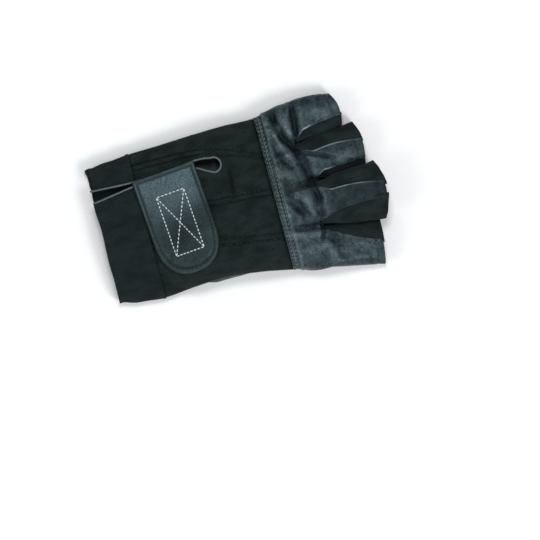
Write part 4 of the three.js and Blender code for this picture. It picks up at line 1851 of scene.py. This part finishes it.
@dataclass
class Thumb:
    """The full leather thumb, folded under the palm: a vented back and a front with its door."""

    thick: float = 1.3
    rings: int = 30
    side_cells: int = 56
    cap_cells: int = 40
    gathers: int = 8
    back_flat: float = 0.62
    vent_radius: float = 0.8
    vent_rows: tuple[float, float] = (-4.2, 3.2)
    vents: int = 7
    vent_first: float = 0.24
    vent_last: float = 1.03
    vent_deep: float = 5.0
    sewn_at: tuple[float, float] = (0.93, 0.865)
    door_at: float = 0.2
    door_half: tuple[float, float] = (11.0, 19.0)
    door_high: float = 12.5
    door_deep: float = 13.0

    def run(self) -> Vector:
        """The thumb's middle line from its base to its tip."""
        return Vector(FORM.thumb_tip) - Vector(FORM.thumb_base)

    def aside(self) -> Vector:
        """The way across the thumb's middle line."""
        return Vector((self.run().y, -self.run().x)).normalized()

    def stations(self) -> int:
        """How many cells run round the thumb."""
        return 2 * self.side_cells + 2 * self.cap_cells

    def rim(self, share: float) -> tuple[Vector, Vector, float, float]:
        """A station round the thumb.

        Args:
            share: how far round it, from 0 to 1.

        Returns:
            Its point on the middle line, its way out, its half width and its share of the base.
        """
        run, across = self.run(), self.aside()
        base = Vector(FORM.thumb_base)
        aim = math.atan2(run.y, run.x)
        at = share * self.stations()
        if at <= self.side_cells:
            t = at / self.side_cells
            return base + run * t, across, read(THUMB_HALF, "t", "half", t), 0.0
        at -= self.side_cells
        if at <= self.cap_cells:
            angle = aim - math.pi / 2 + math.pi * at / self.cap_cells
            out = Vector((math.cos(angle), math.sin(angle)))
            return base + run, out, read(THUMB_HALF, "t", "half", 1.0), 0.0
        at -= self.cap_cells
        if at <= self.side_cells:
            t = 1 - at / self.side_cells
            return base + run * t, -across, read(THUMB_HALF, "t", "half", t), 0.0
        at -= self.side_cells
        angle = aim + math.pi / 2 + math.pi * at / self.cap_cells
        out = Vector((math.cos(angle), math.sin(angle)))
        return base, out, read(THUMB_HALF, "t", "half", 0.0), math.sin(math.pi * at / self.cap_cells)

    def height(self, side: Side, share: float) -> float:
        """The height of a thumb skin at a share of the way from its middle line to its rim.

        Args:
            side: the lower or the upper skin.
            share: the share.

        Returns:
            The height.
        """
        if side is Side.PALM:
            flat = max((share - self.back_flat) / (1 - self.back_flat), 0.0)
            return FORM.thumb_rim * (1 - math.sqrt(max(1 - flat * flat, 0.0)))
        rise = math.sqrt(max(1 - share * share, 0.0))
        return FORM.thumb_rim + (FORM.thumb_tall - FORM.thumb_rim) * rise

    def build(self, wardrobe: Wardrobe, side: Side) -> Piece:
        """Builds and dresses one half of the thumb.

        Args:
            wardrobe: the finishes.
            side: PALM for the vented half that lies on the ground, BACK for the one over it.

        Returns:
            The half's piece.
        """
        cloth = Cloth(self.stations(), self.rings)
        relief = Relief(
            dent=0.35,
            dent_size=14.0,
            crease=0.3,
            crease_long=9.0,
            crease_short=3.5,
            turn=1.3,
            seed=6.0 if side is Side.PALM else 9.0,
        )

        def spot(vert: Vert) -> tuple[float, float]:
            """The point's share round the thumb and its share out to the rim."""
            out = math.sin(vert[cloth.row] / self.rings * math.pi / 2)
            return (vert[cloth.column] / self.stations()) % 1.0, out

        def place(vert: Vert) -> Vector:
            """The point's place, with the base gathered into pleats.

            Args:
                vert: the point of the grid.

            Returns:
                The point.
            """
            around, share = spot(vert)
            spine, out, half, base = self.rim(around)
            pleat = 0.5 * base * math.sin(around * 2 * math.pi * self.gathers * 4)
            pleat *= smoothstep(0.25, 0.8, share)
            point = spine + out * (half * share)
            z = self.height(side, share)
            lowest = 0.0 if side is Side.PALM else FORM.thumb_rim
            bump = max(pleat, 0.0) if side is Side.PALM else min(pleat, 0.0)
            return Vector((point.x, point.y, max(lowest, z + bump * (1 - smoothstep(0.85, 1, share)))))

        cloth.lay(place)
        flat = cloth.cut_flat()
        shares = {vert: spot(vert)[1] for vert in cloth.mesh.verts}
        for vert in cloth.mesh.verts:
            vert[cloth.edge] = 0.9 * bell(1 - shares[vert], 0.05)
        bmesh.ops.remove_doubles(cloth.mesh, verts=cloth.mesh.verts[:], dist=0.002)
        sense = cloth.sense(side)

        def raise_by(vert: Vert) -> float:
            """The leather's relief and the standing seam at the rim.

            Args:
                vert: the point of the grid.

            Returns:
                The height.
            """
            share = shares[vert]
            lip = 0.7 * smoothstep(0.965, 1.0, share)
            worked = relief.height(flat[vert].x, flat[vert].y) * (1 - smoothstep(0.9, 1, share))
            return sense * (lip + min(worked, 0.0))

        cloth.emboss(raise_by)
        name = "thumb_vented_half" if side is Side.PALM else "thumb_upper_half"
        piece = cloth.finish(name, self.thick, wardrobe.thumb, wardrobe.suede)
        outward(piece, side)
        carved(piece, self.vent_tool() if side is Side.PALM else self.door_tool())
        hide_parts("thumb_back" if side is Side.PALM else "thumb_front")
        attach(piece, "root")
        LOG.info("%s: %d points", name, len(piece.data.vertices))
        return piece

    def vent_tool(self) -> bmesh.types.BMesh:
        """The vent holes as one closed cutting tool.

        Returns:
            The tool's bmesh, in metres.
        """
        run, across = self.run(), self.aside()
        radius = self.vent_radius * MM
        mesh = bmesh.new()
        for offset in self.vent_rows:
            for n in range(self.vents):
                along = lerp(self.vent_first, self.vent_last, n / (self.vents - 1))
                centre = Vector(FORM.thumb_base) + run * along + across * offset
                spot = placed(Vector((centre.x, centre.y, 1.0)))
                bmesh.ops.create_cone(
                    mesh, cap_ends=True, segments=16, radius1=radius, radius2=radius,
                    depth=self.vent_deep * MM, matrix=Matrix.Translation(spot),
                )
        return mesh

    def sew(self, thread: Seamstress) -> None:
        """Sews the double row round the thumb, beside its rim.

        Args:
            thread: the thread to sew with.
        """
        centre = Vector(FORM.thumb_base) + self.run() / 2

        def down(point: Vector) -> Vector:
            """The way out of the sole, which leans out from the thumb's middle."""
            return Vector(((point.x - centre.x) * 0.03, (point.y - centre.y) * 0.01, -1))

        for share in self.sewn_at:
            line = []
            for n in range(241):
                spine, out, half, _ = self.rim(n / 240 if n < 240 else 0.0)
                point = spine + out * (half * share)
                line.append(Vector((point.x, point.y, self.height(Side.PALM, share) - 0.02)))
            thread.run(line, down, long=2.0, gap=0.7, thick=0.42)

    def door_tool(self) -> bmesh.types.BMesh:
        """The opening between hand and thumb as a closed cutting tool.

        Returns:
            The tool's bmesh, in metres.
        """
        run = self.run()
        centre = Vector(FORM.thumb_base) + run * self.door_at
        middle = Matrix.Translation(Vector((centre.x, centre.y, self.door_high)) + SHIFT)
        turn = Matrix.Rotation(math.atan2(run.y, run.x) - math.pi / 2, 4, "Z")
        size = Matrix.Diagonal((*self.door_half, 1.0, 1.0))
        mesh = bmesh.new()
        bmesh.ops.create_cone(
            mesh, cap_ends=True, segments=64, radius1=1.0, radius2=1.0,
            depth=self.door_deep, matrix=Matrix.Scale(MM, 4) @ middle @ turn @ size,
        )
        return mesh


@dataclass
class SideStrip:
    """The stretch strip between two fingers: down one, round the slot and up the other."""

    first: int
    thick: float = 1.0
    stall_cells: int = 46
    turn_cells: int = 12
    high_cells: int = 30
    bulge: float = 1.4
    under: float = 0.17
    inset: float = 0.3
    tucked: float = 0.75
    slot_left: float = 0.3
    past: float = 0.5
    lowest: float = 0.4
    round_slot: float = 8.0
    cell: tuple[float, float] = (1.6, 1.4)

    def span(self, finger: Finger, thumb_side: bool, t: float) -> tuple[float, float]:
        """The angles that the strip spans round a finger, tucked under the leather.

        Args:
            finger: the stall.
            thumb_side: whether it faces the thumb.
            t: the share along the stall.

        Returns:
            The angle at the back's leather and the one at the palm's.
        """
        if thumb_side:
            start, end = math.acos(finger.back[1].at(t)), -math.acos(finger.front[1].at(t))
        else:
            start, end = math.acos(finger.back[0].at(t)), 2 * math.pi - math.acos(finger.front[0].at(t))
        tuck = math.copysign(self.under, end - start)
        return start - tuck, end + tuck

    def slot(self, t: float) -> float:
        """The gap between the two fingers at a share along them."""
        a, b = FINGERS[self.first], FINGERS[self.first + 1]
        return FORM.stall(b, math.pi, t).x - FORM.stall(a, 0.0, t).x

    def point(self, column: float, v: float) -> Vector:
        """A point of the strip at a column along it and a share v of its width.

        Args:
            column: the column, counted from the first finger's tip.
            v: the share of the width.

        Returns:
            The point.
        """
        a, b = FINGERS[self.first], FINGERS[self.first + 1]

        def at(finger: Finger, thumb_side: bool, t: float) -> Vector:
            """A point of one finger's side wall, which swells to close the slot.

            Args:
                finger: the stall.
                thumb_side: whether it faces the thumb.
                t: the share along the stall.

            Returns:
                The point.
            """
            start, end = self.span(finger, thumb_side, t)
            hidden = self.under / abs(end - start)
            inner = min(v, 1 - v)
            below = self.tucked * (1 - smoothstep(hidden, 2.4 * hidden, inner))
            swollen = max(self.slot(t) / 2 + self.inset - self.slot_left, 0.0) * smoothstep(0.04, 0.3, t)
            swollen *= smoothstep(hidden, 0.42, inner)
            along = t * (1 + self.past / finger.long())
            return FORM.stall(finger, lerp(start, end, v), along, self.inset + below - swollen)

        if column <= self.stall_cells:
            return at(a, True, 1 - column / self.stall_cells)
        far = column - self.stall_cells - self.turn_cells
        if far >= 0:
            return at(b, False, far / self.stall_cells)
        turn = (column - self.stall_cells) / self.turn_cells
        point = at(a, True, 0.0).lerp(at(b, False, 0.0), (1 - math.cos(math.pi * turn)) / 2)
        point.y -= self.bulge * math.sin(math.pi * turn)
        point.z -= DIP * math.sin(math.pi * turn) * smoothstep(0.75, 0.0, v)
        return point

    def build(self, wardrobe: Wardrobe) -> Piece:
        """Builds and dresses the strip.

        Args:
            wardrobe: the finishes.

        Returns:
            The strip's piece.
        """
        total = 2 * self.stall_cells + self.turn_cells
        cloth = Cloth(total, self.high_cells)
        cloth.lay(lambda v: self.point(v[cloth.column], v[cloth.row] / self.high_cells))
        cloth.cut_map(lambda v: (v[cloth.row] * self.cell[0], v[cloth.column] * self.cell[1]))
        flat = {vert: vert.co.copy() for vert in cloth.mesh.verts}

        def slack(vert: Vert) -> float:
            """The soft waves of the loose cloth."""
            p = flat[vert]
            return 0.9 * noise.noise(Vector((p.x / 5, p.y / 9, p.z / 4 + self.first)))

        cloth.emboss(slack)
        area = cloth.area()
        names = [FINGERS[self.first].name, FINGERS[self.first + 1].name]
        title = "strip_" + "_".join(names)
        piece = cloth.finish(title, self.thick, wardrobe.stretch, wardrobe.stretch, self.lowest)
        walls = FORM.stall(FINGERS[self.first], 0.0, 0.5), FORM.stall(FINGERS[self.first + 1], math.pi, 0.5)
        middle = placed(walls[0].lerp(walls[1], 0.5))
        turn_out(piece, lambda spot: middle - spot)
        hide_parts("side_strip_" + "_".join(names))
        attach(piece, "root")
        long = MM * (sum(FINGERS[n].long() for n in (self.first, self.first + 1)) + self.round_slot)
        LOG.info("side strip %s: %.1f square centimetres", "-".join(names), area * 1e4)
        return piece


@dataclass
class SlitBinding:
    """The rolled edge that runs up one side of the slit, round the keyhole and back down."""

    radius: float = 0.64

    def line(self) -> list[Vector]:
        """The binding's middle line on the back of the hand.

        Returns:
            The line's points.
        """
        last = SLIT[-1]["y"]
        ends = [last * n / 44 for n in range(45)]
        points = [Vector((bank(y, -1), y, 0)) for y in ends]
        low = math.asin((last - KEYHOLE_Y) / KEYHOLE_RADIUS)
        for n in range(1, 26):
            angle = lerp(math.pi - low, low, n / 26)
            out = Vector((math.cos(angle), math.sin(angle), 0)) * KEYHOLE_RADIUS
            points.append(Vector((KEYHOLE_X, KEYHOLE_Y, 0)) + out)
        points += [Vector((bank(y, 1), y, 0)) for y in reversed(ends)]
        for point in points:
            point.z = FORM.back_height(point.x, point.y) + self.radius * 0.2
        return points

    def build(self, wardrobe: Wardrobe) -> Piece:
        """Builds and dresses the binding.

        Args:
            wardrobe: the finishes.

        Returns:
            The binding's piece.
        """
        curve = bpy.data.curves.new("rolled_edge", "CURVE")
        curve.dimensions = "3D"
        curve.bevel_depth = self.radius * MM
        curve.bevel_resolution = 3
        curve.resolution_u = 4
        curve.use_fill_caps = True
        points = self.line()
        spline = curve.splines.new("NURBS")
        spline.points.add(len(points) - 1)
        for knot, point in zip(spline.points, points):
            knot.co = (*placed(point), 1.0)
        spline.use_endpoint_u = True
        spline.order_u = 4
        rolled = bpy.data.objects.new("rolled_edge_curve", curve)
        bpy.context.scene.collection.objects.link(rolled)
        shown = rolled.evaluated_get(bpy.context.evaluated_depsgraph_get())
        data = bpy.data.meshes.new_from_object(shown)
        bpy.data.objects.remove(rolled, do_unlink=True)
        mesh = bmesh.new()
        mesh.from_mesh(data)
        bmesh.ops.remove_doubles(mesh, verts=mesh.verts[:], dist=1e-6)
        bmesh.ops.recalc_face_normals(mesh, faces=mesh.faces[:])
        piece = joined("rolled_edge", mesh, wardrobe.binding)
        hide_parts("slit_binding")
        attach(piece, "root")
        LOG.info("slit binding: %d points", len(points))
        return piece


@dataclass
class WristStrap:
    """The leather tab that closes over the slit: square at its root and round at its end."""

    root: tuple[float, float] = (-30.5, 48.7)
    turn: float = math.radians(4.5)
    long: float = 68.5
    half: float = 21.2
    round_from: float = 44.0
    round_power: float = 2.3
    thick: float = 2.2
    rise: float = 0.9
    border: float = 3.0
    start: float = 2.6
    box_near: float = 14.8
    box_far: float = 54.8
    box_half: float = 9.4
    across: int = 84
    along: int = 120

    def outline(self, along: float) -> float:
        """The strap's half width at a distance along it."""
        past = max((along - self.round_from) / (self.long - self.round_from), 0.0)
        return self.half * max(1 - past**self.round_power, 0.0) ** (1 / self.round_power)

    def ground(self, x: float, y: float) -> float:
        """The height of what the strap lies on."""
        away = abs(x - (bank(y, -1) + bank(y, 1)) / 2)
        return FORM.back_height(x, y) + self.rise + 0.8 * bell(away, 5.0)

    def point(self, along: float, offset: float, raised: float) -> Vector:
        """A point of the strap.

        Args:
            along: the distance from its root.
            offset: the distance from its middle line.
            raised: the height above its underside.

        Returns:
            The point, in pattern millimetres.
        """
        cos, sin = math.cos(self.turn), math.sin(self.turn)
        x = self.root[0] + along * cos - offset * sin
        y = self.root[1] + along * sin + offset * cos
        return Vector((x, y, self.ground(x, y) + raised))

    def edge_distance(self, along: float, offset: float) -> float:
        """How far a point is from the strap's edge, in millimetres.

        Args:
            along: the distance from its root.
            offset: the distance from its middle line.

        Returns:
            The distance.
        """
        past = max(along - self.round_from, 0.0)
        if past > 0:
            long, power = self.long - self.round_from, self.round_power
            radial = (abs(past / long) ** power + abs(offset / self.half) ** power) ** (1 / power)
            return max(1 - radial, 0.0) * min(long, self.half)
        return min(self.half - abs(offset), along + 0.5)

    def build(self, wardrobe: Wardrobe) -> Piece:
        """Builds and dresses the strap.

        Args:
            wardrobe: the finishes.

        Returns:
            The strap's piece.
        """
        cloth = Cloth(self.across, self.along)

        def spot(vert: Vert) -> tuple[float, float]:
            """The point's distance along the strap and its offset.

            Args:
                vert: the point of the grid.

            Returns:
                The distance and the offset.
            """
            t = vert[cloth.row] / self.along
            if t < 0.6:
                along = self.round_from * t / 0.6
            else:
                along = lerp(self.round_from, self.long, math.sin((t - 0.6) / 0.4 * math.pi / 2))
            u = vert[cloth.column] / self.across * 2 - 1
            return along, u * self.outline(along)

        spots = {vert: spot(vert) for vert in cloth.mesh.verts}
        cloth.lay(lambda v: self.point(*spots[v], self.top(*spots[v])))
        cloth.cut_map(lambda v: spots[v])
        for vert in cloth.mesh.verts:
            # Painted highlight along the rolled rim, strongest near the root, and over the root half where
            # light falls; painted shade in the sewn groove and at the turned-down edge.
            along, away = spots[vert][0], self.edge_distance(*spots[vert])
            rim_highlight_and_wear = lerp(0.45, 0.12, smoothstep(10.0, 40.0, along))
            vert[cloth.edge] = rim_highlight_and_wear * bell(away - 1.2, 0.55)
            vert[cloth.fade] = 0.7 * smoothstep(48.0, 3.0, along) * smoothstep(1.0, 4.5, away)
            vert[cloth.sunk] = 0.9 * bell(away - self.border, 0.55) + 0.5 * bell(away, 0.8)
        piece = cloth.finish("strap", self.thick * 0.9, wardrobe.strap, wardrobe.suede)
        outward(piece, Side.BACK)
        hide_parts("wrist_strap")
        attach(piece, "root")
        LOG.info("wrist strap: %d cells", self.across * self.along)
        return piece

    def top(self, along: float, offset: float) -> float:
        """The height of the strap's upper face: a rolled rim, a sewn groove and soft dents.

        Args:
            along: the distance from its root.
            offset: the distance from its middle line.

        Returns:
            The height above its underside.
        """
        away = self.edge_distance(along, offset)
        rolled = -1.1 * bell(away, 0.7)
        rim = 0.25 * bell(away - 1.4, 0.8)
        groove = -0.6 * bell(away - self.border, 0.5)
        dents = 0.35 * noise.noise(Vector((along / 14, offset / 11, 12.0)))
        corner = smoothstep(26.0, 8.0, along) * bell(offset - 17.5, 2.2)
        gathered = 0.3 * corner * math.sin(along * 2 * math.pi / 2.8)
        return self.thick + rolled + rim + groove + dents + gathered

    def sew(self, thread: Seamstress) -> None:
        """Sews the strap's border.

        Args:
            thread: the thread to sew with.
        """
        inset = self.border
        line = [(self.start, -self.half + inset)]
        line += [(n, -self.half + inset) for n in range(4, int(self.round_from) + 1, 2)]
        for n in range(41):
            angle = -math.pi / 2 + math.pi * n / 40
            power = 2 / self.round_power
            reach = (self.long - self.round_from - inset) * abs(math.cos(angle)) ** power
            wide = (self.half - inset) * math.copysign(abs(math.sin(angle)) ** power, math.sin(angle))
            line.append((self.round_from + reach, wide))
        line += [(n, self.half - inset) for n in range(int(self.round_from), 3, -2)]
        line += [(self.start, self.half - inset), (self.start, -self.half + inset)]
        thread.run([self.on_top(*p) for p in line], UP, long=2.0, gap=0.8, thick=0.5)

    def on_top(self, along: float, offset: float) -> Vector:
        """A point just on top of the strap."""
        return self.point(along, offset, self.top(along, offset) + 0.08)

    def mark(self, thread: Seamstress) -> None:
        """Sews a plain crossed box in pale thread, which holds the closing patch below.

        Args:
            thread: the pale thread.
        """
        near, far, half = self.box_near, self.box_far, self.box_half
        corners = [(near, -half), (far, -half), (far, half), (near, half), (near, -half)]
        for a, b in zip(corners, corners[1:]):
            self.sew_between(thread, a, b)
        self.sew_between(thread, corners[0], corners[2])
        self.sew_between(thread, corners[1], corners[3])

    def sew_between(self, thread: Seamstress, a: tuple[float, float], b: tuple[float, float]) -> None:
        """Sews one straight line of the box.

        Args:
            thread: the thread.
            a: its start, along and across the strap.
            b: its end.
        """
        line = [self.on_top(lerp(a[0], b[0], n / 20), lerp(a[1], b[1], n / 20)) for n in range(21)]
        thread.run(line, UP, long=2.2, gap=0.4, thick=0.8)


@dataclass
class Studio:
    """The pale floor, the soft lights and the camera straight above."""

    centre: tuple[float, float] = (48.8, 99.3)
    frame_wide: float = 351.0
    fingers_up: float = math.radians(15.0)
    far: float = 2.4
    sensor: float = 36.0
    tint: Triple = (0.98, 0.99, 1.0)

    def floor(self) -> Piece:
        """Builds the pale floor that the glove lies on.

        Returns:
            The floor.
        """
        mesh = bmesh.new()
        bmesh.ops.create_grid(mesh, x_segments=1, y_segments=1, size=6.0)
        g = Graph("paper")
        grain = g.ramp(g.speckle(900, 3), 0.3, 0.7)
        g.link(g.blend(grain, (0.90, 0.90, 0.90), (0.94, 0.94, 0.94)), g.shader.inputs["Base Color"])
        g.surface({"Roughness": 0.9})
        floor = joined("floor", mesh, g.material)
        floor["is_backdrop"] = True
        return floor

    def light(self, name: str, spot: Triple, size: float, power: float) -> None:
        """Hangs a square soft light that faces the glove.

        Args:
            name: the light's name.
            spot: its place in metres of the frame.
            size: the length of its sides in metres.
            power: its power in watts.
        """
        lamp = bpy.data.lights.new(name, "AREA")
        lamp.shape = "SQUARE"
        lamp.size = size
        lamp.energy = power
        lamp.color = self.tint
        holder = bpy.data.objects.new(name, lamp)
        holder.location = spot
        holder.rotation_euler = (-Vector(spot)).to_track_quat("-Z", "Y").to_euler()
        bpy.context.scene.collection.objects.link(holder)

    def camera(self) -> Piece:
        """Sets the camera that looks straight down, with the fingers to the right and up.

        Returns:
            The camera.
        """
        lens = bpy.data.cameras.new("camera")
        lens.sensor_width = self.sensor
        lens.lens = self.sensor * self.far / (self.frame_wide * MM)
        lens.clip_end = 50.0
        eye = bpy.data.objects.new("camera", lens)
        along, aside = math.cos(self.fingers_up), math.sin(self.fingers_up)
        right = Vector((aside, along, 0))
        up = Vector((-along, aside, 0))
        turned = Matrix((right, up, right.cross(up))).transposed().to_4x4()
        spot = placed(Vector((*self.centre, 0)))
        turned.translation = Vector((spot.x, spot.y, self.far))
        eye.matrix_world = turned
        bpy.context.scene.collection.objects.link(eye)
        bpy.context.scene.camera = eye
        return eye

    def build(self) -> None:
        """Builds the floor, lights, sky and camera."""
        self.floor()
        self.light("key", (-0.42, 0.1, 1.35), size=0.36, power=7.5)
        self.light("side", (0.95, 0.55, 1.1), size=0.5, power=11.5)
        self.light("low", (0.2, -1.1, 0.9), size=0.6, power=4.5)
        sky = bpy.data.worlds.new("sky")
        sky.use_nodes = True
        glow = sky.node_tree.nodes["Background"].inputs
        glow["Color"].default_value = (0.93, 0.97, 1.0, 1.0)
        glow["Strength"].default_value = 0.36
        bpy.context.scene.world = sky
        bpy.context.scene.view_settings.view_transform = "Standard"
        self.camera()


KNUCKLES = HidePanel(
    side=Side.BACK,
    seam=KNUCKLE_SEAM,
    name="knuckles",
    node="knuckle_panel",
    relief=Relief(
        folds=creases(
            (-51.5, 126.5, -31, 128.8, 2.2, 2.2),
            (-33, 128.5, -21, 136, 2.5, 2.3),
            (-52.5, 141, -25, 137.8, 1.9, 2.3),
            (-45, 132.5, -30, 133, 2.6, -1),
            (-38, 122.5, -15, 132, 1.9, -1.1),
            (-27, 137, -13, 138, 3, 1.8),
            (-19, 140, -11, 157, 1.4, 1.2),
            (-14, 137.5, 1, 141, 2.3, 1.5),
            (1, 141, 23, 140.4, 2.3, 2),
            (1, 130.5, 21, 135.5, 2.7, -1.1),
            (10, 124.5, 20, 131.5, 1.7, 1.1),
            (30, 115, 34, 139, 3, -1.4),
            (28, 140.5, 38, 138, 1.4, 1.4),
            (42, 130, 47, 150, 2.8, -1),
            (36, 143, 56, 150, 2.6, 0.9),
            (-43, 147, -40, 163, 3.8, -0.9),
            (-12, 158, -10, 172, 3.6, -0.7),
            (-12, 121, -3, 131, 3.4, -1.1),
            (46, 156, 50, 168, 3.2, -0.7),
        ),
        dent=0.8,
        dent_size=13.0,
        crease=0.22,
        crease_long=15.0,
        crease_short=6.5,
        turn=0.15,
        seed=1.0,
    ),
    proud=0.5,
)
PALM = HidePanel(
    side=Side.PALM,
    seam=HEEL_SEAM,
    name="palm",
    node="palm_panel",
    relief=Relief(
        folds=creases(
            (-46, 83.0, 4, 82.0, 2.2, 1.6),
            (-48, 123.0, 4, 127.0, 2.2, 1.5),
            (-44, 104.0, -16, 107.0, 2.0, 0.7),
            (40, 150.0, 56, 158.0, 1.6, 1.0),
            (38, 158.0, 54, 165.0, 1.5, 0.8),
            (-4, 70.0, 4, 90.0, 2.0, 0.9),
        ),
        dent=0.4,
        dent_size=16.0,
        crease=0.4,
        crease_long=12.0,
        crease_short=4.5,
        turn=0.1,
        seed=2.0,
    ),
    hand_rows=96,
    stall_cells=36,
    stall_rows=44,
)


def write_size(name: str, sizes: dict[str, list[list[float]]]) -> None:
    """Notes the shown object's box under a name.

    Args:
        name: when it was measured.
        sizes: the notes so far.
    """
    sizes[name] = [[float(c) for c in corner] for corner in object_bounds()]


def main() -> None:
    """Builds the glove piece by piece and sets it in the studio."""
    logging.basicConfig(level=logging.INFO, format="%(name)s: %(message)s")
    sizes: dict[str, list[list[float]]] = {}
    write_size("cad", sizes)
    wardrobe = Wardrobe.build()
    strap, back, thumb = WristStrap(), BackPanel(), Thumb()
    WristBand().build(wardrobe)
    back.build(wardrobe)
    KNUCKLES.build(wardrobe, wardrobe.knuckle, "knuckle_leather")
    palm = PALM.build(wardrobe, wardrobe.palm, "palm_leather")
    heel = PalmHeel().build(wardrobe)
    for lower in (palm, heel):
        carved(lower, thumb.door_tool())
    for side in Side:
        thumb.build(wardrobe, side)
    for first in range(len(FINGERS) - 1):
        SideStrip(first).build(wardrobe)
    SlitBinding().build(wardrobe)
    strap.build(wardrobe)
    black, dark, pale = (Seamstress(tone + "_stitching") for tone in ("black", "dark", "pale"))
    back.sew(black)
    KNUCKLES.sew(dark)
    PALM.sew(dark)
    thumb.sew(dark)
    strap.sew(black)
    strap.mark(pale)
    black.finish(wardrobe.black_thread, "stretch_fabric")
    dark.finish(wardrobe.thread, "knuckle_leather")
    pale.finish(wardrobe.pale_thread, "edge_binding")
    Studio().build()
    write_size("visual", sizes)


if __name__ == "__main__":
    main()
